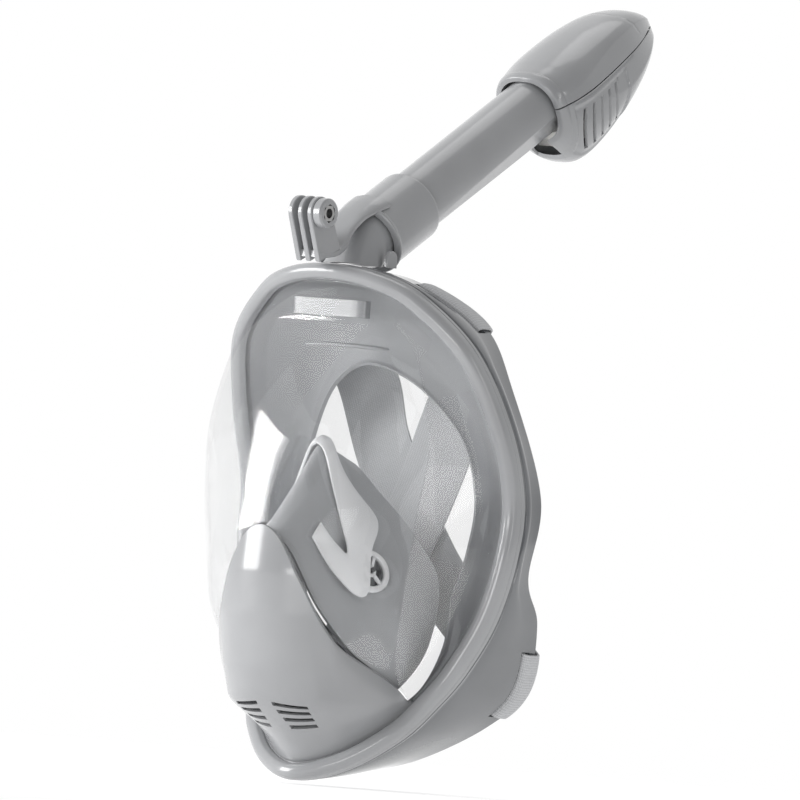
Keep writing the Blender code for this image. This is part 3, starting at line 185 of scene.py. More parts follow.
def softbox(name, spot, aim, wide, tall, watts):
    """Rectangular area light at spot, turned so that its -Z looks at aim."""
    light = bpy.data.lights.new(name, "AREA")
    light.shape = "RECTANGLE"
    light.size, light.size_y, light.energy = wide, tall, watts
    held = bpy.data.objects.new(name, light)
    spot, aim = np.array(spot), np.array(aim)
    away = (spot - aim) / np.linalg.norm(spot - aim)
    side = np.cross([0.0, 0.0, 1.0], away)
    side /= np.linalg.norm(side)
    turned = np.eye(4)
    turned[:3, 0], turned[:3, 1], turned[:3, 2] = side, np.cross(away, side), away
    turned[:3, 3] = spot
    held.matrix_world = Matrix(turned.tolist())
    bpy.context.scene.collection.objects.link(held)


softbox("key", (-1.3, -1.3, 0.4), (0.0, 0.0, 0.0), 0.9, 0.9, 26.0)
softbox("side", (1.8, -0.1, 0.1), (0.0, 0.0, 0.05), 0.2, 1.2, 3.0)
softbox("fill", (0.9, -2.2, -0.02), (0.0, 0.0, -0.03), 1.2, 0.4, 9.0)
softbox("top", (-0.3, 0.6, 1.7), (0.0, 0.05, 0.1), 0.8, 0.8, 2.5)


# Front rim. The real piece is a thick rounded ring of gloss grey ABS, injection moulded, that
# presses window, chin cover and skirt against the frame. It wraps back at the temples.
MM = 0.001
FINE = 8
STATIONS = 28 * FINE
HALF_WIDTH, TOP, BOTTOM = 91.0, 131.0, 138.0
RIM_WIDTH, RIM_FRONT, RIM_WALL, CLAMP_DEPTH, GAP = 9.0, 5.0, 2.4, 6.0, 0.35
ABS_IOR = 1.54


def even_steps(line, count):
    """The line at even arc length: each coordinate interpolated over the summed lengths."""
    run = np.r_[0.0, np.cumsum(np.linalg.norm(np.diff(line, axis=0), axis=1))]
    want = np.linspace(0.0, run[-1], count)
    return np.stack([np.interp(want, run, line[:, k]) for k in range(line.shape[1])], axis=1)


def spans(points, steps):
    """Curve through rows of points, each span 0.5(2b + (c-a)t + (2a-5b+4c-d)tt + (3b-a-3c+d)ttt)."""
    a, b, c, d = (points[k:len(points) - 3 + k, None] for k in range(4))
    t = np.linspace(0.0, 1.0, steps, endpoint=False).reshape([1, steps] + [1] * (points.ndim - 1))
    curve = 0.5 * (2 * b + (c - a) * t + (2 * a - 5 * b + 4 * c - d) * t ** 2
                   + (3 * b - a - 3 * c + d) * t ** 3)
    return np.concatenate([curve.reshape(-1, *points.shape[1:]), points[-2:-1]])


def half_line(points, count=STATIONS + 1, steps=12):
    """Curve from the top middle down the +X side; its ends mirror over X = 0 or run straight on."""
    points = np.asarray(points, float)
    flip = np.array([-1.0, 1.0, 1.0])
    after = points[-2] * flip if abs(points[-1][0]) < 1e-6 else 2 * points[-1] - points[-2]
    return even_steps(spans(np.vstack([points[1] * flip, points, after]), steps), count)


def free_line(points, count):
    """Curve through points whose ends run straight on, at even arc length."""
    points = np.asarray(points, float)
    ends = 2 * points[0] - points[1], 2 * points[-1] - points[-2]
    return even_steps(spans(np.vstack([ends[0], points, ends[1]]), 16), count)


def loop_of(half):
    """Closed loop: the +X half followed by its mirror image, without the two shared points."""
    return np.vstack([half, half[-2:0:-1] * np.array([-1.0, 1.0, 1.0])])


def across(half):
    """Open line from the -X end over the middle to the +X end."""
    return np.vstack([half[:0:-1] * np.array([-1.0, 1.0, 1.0]), half])


def outward(line, closed=True):
    """Unit normals in the XZ plane, (-dz, 0, dx) of the central difference, away from the middle."""
    if closed:
        step = np.roll(line, -1, axis=0) - np.roll(line, 1, axis=0)
    else:
        step = np.gradient(line, axis=0)
    normal = np.stack([-step[:, 2], np.zeros(len(line)), step[:, 0]], axis=1)
    normal /= np.maximum(np.linalg.norm(normal, axis=1, keepdims=True), 1e-9)
    side = np.sign(np.sum(normal * line, axis=1, keepdims=True))
    return normal * np.where(side == 0, 1.0, side)


def off_line(line, inward, behind, closed=True):
    """The line moved by inward along its inner normal and by behind along +Y."""
    return line - outward(line, closed) * inward + np.array([0.0, behind, 0.0])


def put(name, points, quads, material, body, caps=(), bevel=0.0, uv=None, replaces=(), slot=None):
    """Mesh from points in mm and quads, faces turned outward by the sign of their summed volume."""
    points, quads = np.asarray(points, float) * MM, np.asarray(quads)
    middle = points.mean(axis=0)
    p = points[quads] - middle
    volume = np.sum(p[:, 0] * (np.cross(p[:, 1], p[:, 2]) + np.cross(p[:, 2], p[:, 3])))
    faces = quads.tolist() + [list(cap) for cap in caps]
    if volume < 0:
        faces = [face[::-1] for face in faces]
    mesh = bpy.data.meshes.new(name)
    mesh.from_pydata(points.tolist(), [], faces)
    if uv is not None:
        layer = mesh.uv_layers.new(name="cloth")
        corner = np.empty(len(mesh.loops), np.int32)
        mesh.loops.foreach_get("vertex_index", corner)
        layer.data.foreach_set("uv", uv[corner].astype(np.float32).ravel())
    mesh.polygons.foreach_set("use_smooth", np.ones(len(mesh.polygons), bool))
    mesh.validate()
    mesh.materials.append(material)
    piece = bpy.data.objects.new(name, mesh)
    bpy.context.scene.collection.objects.link(piece)
    if bevel:
        change = piece.modifiers.new("edges", "BEVEL")
        change.width, change.segments, change.limit_method = bevel * MM, 2, "ANGLE"
        change.angle_limit = math.radians(38.0)
        change.use_clamp_overlap = True
        even = piece.modifiers.new("shading", "WEIGHTED_NORMAL")
        even.keep_sharp = False
    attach(piece, body)
    if replaces:
        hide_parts(*replaces)
    return piece


def ring_quads(rows, cols, closed_rows, closed_cols):
    """Quads of a grid: (i,j), (i,j+1), (i+1,j+1), (i+1,j), wrapped where a direction is closed."""
    i, j = np.meshgrid(np.arange(rows if closed_rows else rows - 1),
                       np.arange(cols if closed_cols else cols - 1), indexing="ij")
    i, j = i.ravel(), j.ravel()
    k, n = (i + 1) % rows, (j + 1) % cols
    return np.stack([i * cols + j, i * cols + n, k * cols + n, k * cols + j], axis=1)


def swept(name, rings, material, body, closed=True, **more):
    """Body through closed rings of points; open rows of rings get a flat cap at each end."""
    rows, cols = rings.shape[:2]
    caps = [] if closed else [range(cols - 1, -1, -1), range((rows - 1) * cols, rows * cols)]
    quads = ring_quads(rows, cols, closed, True)
    return put(name, rings.reshape(-1, 3), quads, material, body, caps, **more)


def walled(name, front, behind, material, body, wrap=False, keep=None, **more):
    """Wall between two grids: both skins, and a rim quad wherever a kept cell has no neighbour."""
    rows, cols = front.shape[:2]
    wide = cols if wrap else cols - 1
    keep = np.ones((rows - 1, wide), bool) if keep is None else keep
    i, j = np.nonzero(keep)
    half = rows * cols
    n = (j + 1) % cols
    a, b, c, d = i * cols + j, i * cols + n, (i + 1) * cols + n, (i + 1) * cols + j
    quads = [np.stack([a, b, c, d], 1), half + np.stack([a, d, c, b], 1)]
    there = np.zeros((rows + 1, wide + 2), bool)
    there[1:-1, 1:-1] = keep
    if wrap:
        there[1:-1, 0], there[1:-1, -1] = keep[:, -1], keep[:, 0]
    for di, dj, p, q in (-1, 0, b, a), (1, 0, d, c), (0, -1, a, d), (0, 1, c, b):
        bare = ~there[i + 1 + di, j + 1 + dj]
        p, q = p[bare], q[bare]
        quads.append(np.stack([p, q, half + q, half + p], 1))
    quads = np.vstack(quads)
    used, order = np.unique(quads, return_inverse=True)
    points = np.vstack([front.reshape(-1, 3), behind.reshape(-1, 3)])[used]
    if more.get("uv") is not None:
        more["uv"] = np.vstack([more["uv"].reshape(-1, 2)] * 2)[used]
    return put(name, points, order.reshape(quads.shape), material, body, **more)


def moulded_plastic(name, light, dark, rough, coat):
    """Injection-moulded plastic: cloudy tone over 45 mm, gloss over 9 mm, mould skin at 1.2 mm."""
    made, tree, shader = blank(name)
    colour_by(tree, shader, noise(tree, 0.045, 2.0), dark, light, 0.35, 0.65)
    rough_by(tree, shader, noise(tree, 0.009, 3.0), rough - 0.03, rough + 0.04, 0.3, 0.7)
    relief_by(tree, shader, noise(tree, 0.0012, 2.0), 0.035, 0.0002)
    constants(shader, IOR=ABS_IOR, Coat_Weight=coat, Coat_Roughness=0.08)
    return made


# Gloss grey ABS, straight from a polished mould: clean soft highlights on a mid grey.
gloss_abs = moulded_plastic("gloss_moulded_abs", "#9b9c9e", "#959698", 0.2, 0.35)

rim_half = half_line([
    (0.0, -52.0, TOP), (0.31 * HALF_WIDTH, -49.0, 0.975 * TOP), (0.57 * HALF_WIDTH, -41.0, 0.895 * TOP),
    (0.86 * HALF_WIDTH, -27.0, 0.69 * TOP), (0.985 * HALF_WIDTH, -8.0, 0.39 * TOP),
    (HALF_WIDTH, 5.0, 0.11 * TOP), (0.985 * HALF_WIDTH, 4.0, -0.12 * BOTTOM),
    (0.91 * HALF_WIDTH, 0.0, -0.35 * BOTTOM), (0.78 * HALF_WIDTH, -7.0, -0.55 * BOTTOM),
    (0.66 * HALF_WIDTH, -16.0, -0.69 * BOTTOM), (0.53 * HALF_WIDTH, -28.0, -0.82 * BOTTOM),
    (0.29 * HALF_WIDTH, -42.0, -0.945 * BOTTOM), (0.0, -50.0, -BOTTOM)])
rim_line = loop_of(rim_half)
face = free_line([
    (RIM_WIDTH, -0.25 * RIM_FRONT), (0.95 * RIM_WIDTH, -0.42 * RIM_FRONT),
    (0.86 * RIM_WIDTH, -0.76 * RIM_FRONT), (0.62 * RIM_WIDTH, -0.98 * RIM_FRONT),
    (0.38 * RIM_WIDTH, -RIM_FRONT), (0.18 * RIM_WIDTH, -0.8 * RIM_FRONT),
    (0.05 * RIM_WIDTH, -0.45 * RIM_FRONT), (0.0, -0.05 * RIM_FRONT)], 22)
section = np.vstack([[(RIM_WIDTH, 0.0)], face, [
    (0.0, 0.45 * CLAMP_DEPTH), (0.25, 0.5 * CLAMP_DEPTH), (0.25, 0.56 * CLAMP_DEPTH),
    (0.0, 0.61 * CLAMP_DEPTH), (0.0, CLAMP_DEPTH), (RIM_WALL, CLAMP_DEPTH), (RIM_WALL, 0.0)]])
rings = np.stack([off_line(rim_line, a, b) for a, b in section], axis=1)
swept("rim_ring", rings, gloss_abs, "mask", bevel=0.25, replaces=("front_rim",), slot="gloss_grey_abs")


# Side frame. A darker, very glossy band of moulded ABS behind the skirt, which carries the slots
# and bars of the head straps. It is snapped to the rim from behind.
BAND_WALL, STRAP_SLOT, STRAP_BAR = 2.6, 6.5, 5.0
UPPER_SLOT, LOWER_SLOT = (3, 6), (19, 22)
band_abs = moulded_plastic("polished_band_abs", "#6a6c6f", "#626467", 0.1, 0.8)

band_half = half_line([
    (0.0, -27.0, 0.98 * TOP), (0.38 * HALF_WIDTH, -23.0, 0.955 * TOP), (0.71 * HALF_WIDTH, -1.0, 0.80 * TOP),
    (0.91 * HALF_WIDTH, 4.0, 0.55 * TOP), (0.985 * HALF_WIDTH, 26.0, 0.13 * TOP),
    (0.955 * HALF_WIDTH, 24.0, -0.18 * BOTTOM), (0.90 * HALF_WIDTH, 41.0, -0.35 * BOTTOM),
    (0.74 * HALF_WIDTH, 54.0, -0.60 * BOTTOM), (0.57 * HALF_WIDTH, 42.0, -0.755 * BOTTOM),
    (0.30 * HALF_WIDTH, 15.0, -0.90 * BOTTOM), (0.0, 2.0, -0.95 * BOTTOM)])
band_line = loop_of(band_half)
seat = CLAMP_DEPTH + GAP
corner = off_line(rim_line, 0.15, seat + 1.0)
reach = np.linalg.norm(band_line - corner, axis=1, keepdims=True)
along = (band_line - corner) / reach
slot_start = np.maximum(reach - STRAP_BAR - STRAP_SLOT, 0.38 * reach)
bar_start = np.maximum(reach - STRAP_BAR, 0.78 * reach)
bulge = outward(rim_line)
outer = [off_line(rim_line, RIM_WIDTH, seat), off_line(rim_line, 1.0, seat), corner]
for part, rise in (0.04, -0.45), (0.08, -0.45), (0.12, 0.0), (0.3, 0.35), (0.55, 0.5), (0.8, 0.3):
    outer.append(corner + along * slot_start * part + bulge * rise)
outer.append(corner + along * slot_start)
slot_row = len(outer) - 1
outer.append(corner + along * bar_start)
outer.append(band_line)
inner = []
for k, ring in enumerate(outer):
    if k < 2:
        inner.append(off_line(rim_line, (RIM_WIDTH, BAND_WALL)[k], seat + BAND_WALL))
    else:
        moved = ring - outward(ring) * BAND_WALL
        inner.append(moved + np.array([0.0, BAND_WALL - 0.6, 0.0]) if k == 2 else moved)
outer, inner = np.stack(outer), np.stack(inner)
keep = np.ones((outer.shape[0] - 1, outer.shape[1]), bool)
count = outer.shape[1]
for first, last in UPPER_SLOT, LOWER_SLOT:
    keep[slot_row, first * FINE:last * FINE] = False
    keep[slot_row, count - last * FINE:count - first * FINE] = False
keep[2:slot_row, :FINE] = False
keep[2:slot_row, count - FINE:] = False
keep[slot_row, :FINE] = False
keep[slot_row, count - FINE:] = False
walled("side_band", outer, inner, band_abs, "mask", wrap=True, keep=keep, bevel=0.3,
       replaces=("side_frame",), slot="dark_grey_abs")


# Window. One clear injection-moulded polycarbonate shell: a flat clamped flange, side panes that
# lean out to a soft crease, and a wide curved front pane that ends on the chin cover's edge.
LENS_WALL, FLANGE_INSET, FLANGE_END, DOME_FRONT = 2.2, 3.0, 9.6, 93.0
CHIN_STATION = 22
PANEL_GAP = 1.0

PC_IOR = 1.585
clear_plastic, tree, shader = blank("clear_moulded_polycarbonate")
flow = noise(tree, 0.03, 1.0)
relief_by(tree, shader, flow, 0.02, 0.001)
rough_by(tree, shader, flow, 0.015, 0.03)
constants(shader, Base_Color=linear("#b9bec2"), IOR=PC_IOR, Alpha=0.11, Transmission_Weight=1.0)


def dome_depth(x, z):
    """Depth of the shared dome: -front(z) + 0.0115 x^2 + 8e-7 x^4, with front(z) by height."""
    heights = np.array([-131.0, -120.0, -102.0, -80.0, -53.0, -30.0, -6.0, 40.0])
    front = np.array([52.0, 66.0, 80.0, 88.0, 93.5, 95.0, DOME_FRONT, 83.0])
    return -np.interp(z, heights, front) + 0.0115 * x * x + 8e-7 * x ** 4


def eased(value):
    """Smooth step 3s^2 - 2s^3 of a share held between 0 and 1."""
    value = np.clip(value, 0.0, 1.0)
    return value * value * (3.0 - 2.0 * value)


def chin_edge(count):
    """Edge between window and chin cover, on the dome and at its end on the rim's inner line."""
    end = off_line(across(rim_half), FLANGE_END + 1.4, 0.0, False)[STATIONS + CHIN_STATION * FINE]
    half = half_line([
        (0.0, 0.0, -6.0), (8.0, 0.0, -9.0), (15.0, 0.0, -17.0), (24.0, 0.0, -34.0), (33.0, 0.0, -54.0),
        (41.0, 0.0, -72.0), (0.92 * end[0], 0.0, end[2] + 6.0), (end[0], 0.0, end[2])], count)
    late = eased((np.linspace(0.0, 1.0, count) - 0.68) / 0.32)
    half[:, 1] = dome_depth(half[:, 0], half[:, 2]) * (1 - late) + (end[1] - 5.0) * late
    return half


def through_wall(line, lean_degrees):
    """Unit direction cos(lean) inward + sin(lean) back, for each row, eased to 30 at both ends."""
    lean = np.array(lean_degrees, float)[:, None]
    ends = np.clip((np.abs(np.linspace(-1.0, 1.0, len(line)))[None] - 0.75) / 0.22, 0.0, 1.0)
    on_flange = (np.array(lean_degrees) == 90.0)[:, None] & (np.arange(len(lean)) < 3)[:, None]
    lean = np.radians(np.where(on_flange, lean, lean * (1 - ends) + 30.0 * ends))[:, :, None]
    return -np.cos(lean) * outward(line, False)[None] + np.sin(lean) * np.array([0.0, 1.0, 0.0])


def thinner(count):
    """Share of the wall in each column: the corners run out to two fifths."""
    span = np.abs(np.linspace(-1.0, 1.0, count))
    return (1.0 - 0.6 * np.clip((span - 0.86) / 0.12, 0.0, 1.0))[None, :, None]


window_half = rim_half[:CHIN_STATION * FINE + 1]
window_line = across(window_half)
end = off_line(window_line, FLANGE_END + 1.3, 0.0, False)[-1]
crease = across(half_line([
    (0.0, -59.0, 102.0), (30.0, -57.0, 102.0), (47.0, -51.0, 100.0), (62.0, -50.0, 81.0),
    (73.0, -50.0, 40.0), (68.0, -50.0, 0.0), (63.5, -49.0, -38.0),
    (end[0] + 5.0, -40.0, end[2] + 14.0), (end[0], end[1] - 3.0, end[2])], CHIN_STATION * FINE + 1))
edge = across(chin_edge(CHIN_STATION * FINE + 1))
foot = off_line(window_line, FLANGE_END + 1.2, -1.0, False)
side_parts = np.linspace(0.0, 0.985, 12)
front_parts = np.r_[0.012, np.linspace(0.04, 1.0, 34)]
rows = [off_line(window_line, FLANGE_INSET, GAP, False), off_line(window_line, FLANGE_END - 0.2, GAP, False),
        off_line(window_line, FLANGE_END + 0.6, 0.0, False)]
lean = [90.0, 90.0, 90.0]
rows += [foot + (crease - foot) * part for part in side_parts]
lean += np.interp(side_parts, (0.0, 0.5, 0.92, 1.0), (45.0, 18.0, 22.0, 45.0)).tolist()
rows.append(crease)
lean.append(45.0)
for part in front_parts:
    row = crease + (edge - crease) * part
    row[:, 1] = crease[:, 1] + (edge[:, 1] - crease[:, 1]) * math.sin(0.5 * math.pi * part) ** 0.9
    rows.append(row)
lean += np.interp(front_parts, (0.0, 0.14, 0.38, 0.68, 1.0), (45.0, 68.0, 80.0, 88.0, 89.9)).tolist()
rows = np.stack(rows)
pull = rows[-3] - rows[-1]
pull /= np.maximum(np.linalg.norm(pull, axis=1, keepdims=True), 1e-6)
rows[-1] = rows[-1] + pull * 0.5 * PANEL_GAP
inside = rows + through_wall(window_line, lean) * LENS_WALL * thinner(len(window_line))
walled("window", rows, inside, clear_plastic, "mask", bevel=0.3, replaces=("lens",),
       slot="clear_polycarbonate")


# Chin cover. Opaque gloss ABS that carries the dome on below the nose, with rows of narrow slots
# at the bottom, where the breath and the water leave. It lies in the rim beside the window.
CHIN_WALL, SLOT_ROWS = 2.2, 4
half = rim_half[CHIN_STATION * FINE:].copy()
CHIN_COLUMNS = 14 * FINE
half = even_steps(half, CHIN_COLUMNS)
half[0] += (rim_half[(CHIN_STATION + 1) * FINE] - rim_half[CHIN_STATION * FINE]) * 0.1
chin_line = across(half[::-1])
edge = across(chin_edge(CHIN_COLUMNS))
span = np.linspace(-1.0, 1.0, 2 * CHIN_COLUMNS - 1)
edge[:, 2] -= 0.5 * PANEL_GAP + 0.25
edge[:, 0] *= 1.0 - 0.004 * np.abs(span)
foot = off_line(chin_line, FLANGE_END + 1.2, -1.0, False)
slot_parts = 0.13 + 0.13 * np.arange(2 * SLOT_ROWS + 1) / (2 * SLOT_ROWS)
parts = np.r_[0.0, 0.035, 0.07, 0.1, slot_parts, np.linspace(0.285, 1.0, 34)]
first_slot = 2 + 4
rows = [off_line(chin_line, FLANGE_INSET, GAP, False), off_line(chin_line, FLANGE_END, GAP, False)]
side = eased((np.abs(span) - 0.5) / 0.45)
for part in parts:
    row = foot + (edge - foot) * part
    rise = eased(part / 0.3)
    row[:, 1] = row[:, 1] * (1 - rise) + dome_depth(row[:, 0], row[:, 2]) * rise
    straight = foot[:, 1] + (edge[:, 1] - foot[:, 1]) * math.sin(0.5 * math.pi * part)
    row[:, 1] = row[:, 1] * (1 - side) + straight * side
    rows.append(row)
rows = np.stack(rows)
lean = [90.0, 90.0] + np.minimum(89.9, 20.0 + 200.0 * parts).tolist()
inside = rows + through_wall(chin_line, lean) * CHIN_WALL * thinner(len(chin_line))
keep = np.ones((rows.shape[0] - 1, rows.shape[1] - 1), bool)
middle = CHIN_COLUMNS - 1
for k in range(SLOT_ROWS):
    row = first_slot + 2 * k
    near, far = FINE + 3 - k, 4 * FINE + 5 + 2 * k
    keep[row, middle + near:middle + far] = False
    keep[row, middle - far:middle - near] = False
walled("chin_shell", rows, inside, gloss_abs, "mask", keep=keep, bevel=0.2, replaces=("chin_cover",),
       slot="gloss_grey_abs")


# Skirt. Soft grey silicone, moulded in one piece: a clamped flange, a side wall and a cushion that
# rolls in to the lip that seals on the face. It is matt, with a trace of light passing through.
SKIRT_WALL = 2.0
SILICONE_IOR = 1.41


def silicone(name, light, dark):
    """Matt silicone: tone over 30 mm, fine sparked mould texture at 0.9 mm, some scatter."""
    made, tree, shader = blank(name)
    cloud = noise(tree, 0.03, 3.0)
    colour_by(tree, shader, cloud, dark, light, 0.3, 0.7)
    rough_by(tree, shader, cloud, 0.42, 0.58)
    relief_by(tree, shader, noise(tree, 0.0009, 2.0), 0.12, 0.0002)
    constants(shader, IOR=SILICONE_IOR, Subsurface_Weight=0.15, Subsurface_Radius=(0.004, 0.004, 0.004),
              Subsurface_Scale=1.0)
    return made


skirt_silicone = silicone("moulded_grey_silicone", "#a6a7a9", "#9e9fa1")


def grid_normals(grid, wrap):
    """Unit normals of a grid: cross product of the steps down and across it."""
    down = np.gradient(grid, axis=0)
    over = np.roll(grid, -1, axis=1) - np.roll(grid, 1, axis=1) if wrap else np.gradient(grid, axis=1)
    normal = np.cross(down, over)
    return normal / np.maximum(np.linalg.norm(normal, axis=2, keepdims=True), 1e-9)


lip = loop_of(half_line([
    (0.0, -12.0, 81.0), (28.0, -4.0, 70.0), (49.0, 8.0, 45.0), (58.0, 12.0, 14.0), (56.0, 11.0, -14.0),
    (51.0, 8.0, -38.0), (47.0, 9.0, -64.0), (34.0, 9.0, -87.0), (16.0, 6.0, -100.0), (0.0, 4.0, -104.0)]))
wall = off_line(rim_line, RIM_WIDTH + 2.6, CLAMP_DEPTH + 6.0)
seat = GAP + LENS_WALL + GAP
knots = [2 * wall - off_line(rim_line, RIM_WIDTH + 4.0, 22.0), wall]
for part, behind in (0.35, 12.0), (0.7, 13.0), (0.93, 5.0):
    point = wall + (lip - wall) * part
    point[:, 1] += behind * (1.0 - 0.3 * part)
    knots.append(point)
knots += [lip, 2 * lip - knots[-1]]
cushion = spans(np.stack(knots), 8)
flange = np.stack([off_line(rim_line, FLANGE_INSET, seat), off_line(rim_line, FLANGE_END, seat)])
rows = np.concatenate([flange, cushion])
normal = grid_normals(rows, True)
normal = -normal if normal[20, 160, 1] < 0 else normal
behind = rows + normal * SKIRT_WALL
behind[:2] = rows[:2] + np.array([0.0, SKIRT_WALL, 0.0])
walled("skirt", rows, behind, skirt_silicone, "mask", wrap=True, bevel=0.5, replaces=("face_skirt",),
       slot="grey_silicone")


# Nose and mouth pocket. Thinner silicone of the same kind, open at the front to the chin cover and
# at the back to the face, with a round hole in each cheek for a one-way valve.
POCKET_WALL, VALVE_STATION, VALVE_ROW = 1.8, 9, 2
POCKET_STATIONS, POCKET_FINE = 24, 6
pocket_silicone = silicone("thin_grey_silicone", "#b2b3b5", "#aaabad")
pocket_lines = [
    [(0.0, -86.0, -11.0), (12.0, -82.0, -19.0), (26.0, -74.0, -46.0), (36.0, -57.0, -68.0),
     (39.0, -37.0, -82.0), (28.0, -42.0, -102.0), (0.0, -50.0, -114.0)],
    [(0.0, -47.0, 38.0), (11.0, -45.0, 16.0), (30.0, -36.0, -22.0), (44.0, -24.0, -52.0),
     (42.0, -16.0, -80.0), (24.0, -20.0, -100.0), (0.0, -24.0, -107.0)],
    [(0.0, -22.0, 29.0), (14.0, -11.0, 13.0), (29.0, -1.0, -6.0), (44.0, 4.0, -30.0), (41.0, 4.0, -62.0),
     (28.0, 3.0, -83.0), (13.0, 0.0, -93.0), (0.0, -2.0, -96.0)]]


def pocket_rows(stations):
    """Six rows of the pocket at a number of stations: front edge, two steps, middle, step, rear lip."""
    front, middle, rear = (loop_of(half_line(points, stations + 1)) for points in pocket_lines)
    return np.stack([front, front + (middle - front) * 0.35, front + (middle - front) * 0.7, middle,
                     middle + (rear - middle) * 0.5, rear])


def valve_place(sign):
    """Middle and outward direction of a cheek valve, from the rows and normals at its station."""
    grid = pocket_rows(POCKET_STATIONS)
    normal = grid_normals(grid, True)
    normal = -normal if normal[3, 6, 0] < 0 else normal
    at = VALVE_STATION if sign > 0 else grid.shape[1] - VALVE_STATION
    out = normal[VALVE_ROW, at] + normal[VALVE_ROW + 1, at]
    return 0.5 * (grid[VALVE_ROW, at] + grid[VALVE_ROW + 1, at]), out / np.linalg.norm(out)


coarse = pocket_rows(POCKET_STATIONS * POCKET_FINE)
knots = np.concatenate([2 * coarse[:1] - coarse[1:2], coarse, 2 * coarse[-1:] - coarse[-2:-1]])
pocket = spans(knots, 10)
pocket_out = grid_normals(pocket, True)
pocket_out = -pocket_out if pocket_out[30, 6 * POCKET_FINE, 0] < 0 else pocket_out
cells = 0.25 * (pocket[:-1] + pocket[1:] + np.roll(pocket, -1, axis=1)[:-1] + np.roll(pocket, -1, axis=1)[1:])
keep = np.ones(cells.shape[:2], bool)
for sign in (1, -1):
    middle, out = valve_place(sign)
    away = cells - middle
    depth = np.abs(away @ out)
    flat = np.linalg.norm(away - (away @ out)[:, :, None] * out, axis=2)
    keep &= ~((flat < 9.6) & (depth < 12.0))
walled("nose_and_mouth_pocket", pocket, pocket - pocket_out * POCKET_WALL, pocket_silicone, "mask",
       wrap=True, keep=keep, bevel=0.4, replaces=("nose_pocket",), slot="grey_silicone")


# Valve bracket. A light satin polypropylene saddle over the ridge of the pocket: on each side a
# broad rear arm and a thin front arm meet in a rounded paddle that half covers the cheek valve.
satin_pp, tree, shader = blank("satin_moulded_polypropylene")
colour_by(tree, shader, noise(tree, 0.02, 2.0), "#ececed", "#f2f2f3")
relief_by(tree, shader, noise(tree, 0.0007, 2.0), 0.06, 0.0002)
constants(shader, Roughness=0.38, IOR=1.49, Subsurface_Weight=0.2, Subsurface_Radius=(0.003, 0.003, 0.003),
          Subsurface_Scale=1.0)


def on_pocket(station, row, lift):
    """Point on the pocket at a station and row, both fractions: bilinear on its grid, plus lift."""
    i = np.clip(row * 10.0, 0.0, len(pocket) - 1.001)
    j = station * POCKET_FINE % pocket.shape[1]
    i0, j0 = np.floor(i).astype(int), np.floor(j).astype(int)
    j1 = (j0 + 1) % pocket.shape[1]
    u, v = (i - i0)[..., None], (j - j0)[..., None]

    def mix(grid):
        return ((grid[i0, j0] * (1 - v) + grid[i0, j1] * v) * (1 - u)
                + (grid[i0 + 1, j0] * (1 - v) + grid[i0 + 1, j1] * v) * u)

    out = mix(pocket_out)
    return mix(pocket) + out / np.linalg.norm(out, axis=-1, keepdims=True) * np.asarray(lift)[..., None]


outer_edge = free_line([
    (0.0, 3.25, 0), (1.6, 3.3, 0), (3.4, 3.5, 0), (5.4, 3.75, 0), (7.0, 3.45, 0), (8.4, 2.75, 0),
    (9.5, 2.05, 0), (9.75, 1.6, 0), (9.0, 1.33, 0), (7.4, 1.15, 0), (5.4, 1.0, 0), (3.4, 0.9, 0)], 90)
inner_edge = free_line([
    (0.0, 2.75, 0), (1.5, 2.7, 0), (2.9, 2.6, 0), (4.3, 2.42, 0), (5.5, 2.2, 0), (6.3, 2.0, 0),
    (6.6, 1.85, 0), (6.55, 1.76, 0), (6.0, 1.7, 0), (5.2, 1.62, 0), (4.3, 1.54, 0), (3.4, 1.46, 0)], 90)
part = np.linspace(0.0, 1.0, 13)[:, None]
station = outer_edge[None, :, 0] * (1 - part) + inner_edge[None, :, 0] * part
row = outer_edge[None, :, 1] * (1 - part) + inner_edge[None, :, 1] * part
lift = 1.6 + 3.3 * eased((station - 4.5) / 3.2) * eased((row - 0.9) / 0.8)
crown = 0.5 * np.sin(math.pi * part)
under = on_pocket(station, row, lift)
over = on_pocket(station, row, lift + 1.5 + crown)
for side, sign in ("right", 1.0), ("left", -1.0):
    flip = np.array([sign, 1.0, 1.0])
    walled("bracket_arm_" + side, over * flip, under * flip, satin_pp, "mask", bevel=0.35,
           replaces=("pocket_bracket",), slot="translucent_grey_plastic")

# Cheek valve seats: a ring with a rolled edge, a hub and three spokes, moulded in the same plastic.
# The thin black silicone flap behind it lifts off the spokes when the wearer breathes in.
SEAT_RADIUS, SEAT_OPEN, HUB_RADIUS, SEAT_THICK = 11.5, 8.4, 3.2, 2.0


def turned_rings(profile, middle, axis, count):
    """Rings of a turned body: middle + r(cos t u + sin t v) + h axis, for each (r, h)."""
    axis = np.asarray(axis, float) / np.linalg.norm(axis)
    side = np.cross(axis, [1.0, 0.0, 0.0] if abs(axis[0]) < 0.9 else [0.0, 1.0, 0.0])
    side /= np.linalg.norm(side)
    t = np.linspace(0.0, 2 * math.pi, count, endpoint=False)
    spoke = np.cos(t)[:, None] * side + np.sin(t)[:, None] * np.cross(axis, side)
    profile = np.asarray(profile, float)
    return np.asarray(middle) + spoke[None] * profile[:, None, :1] + axis * profile[:, None, 1:2]


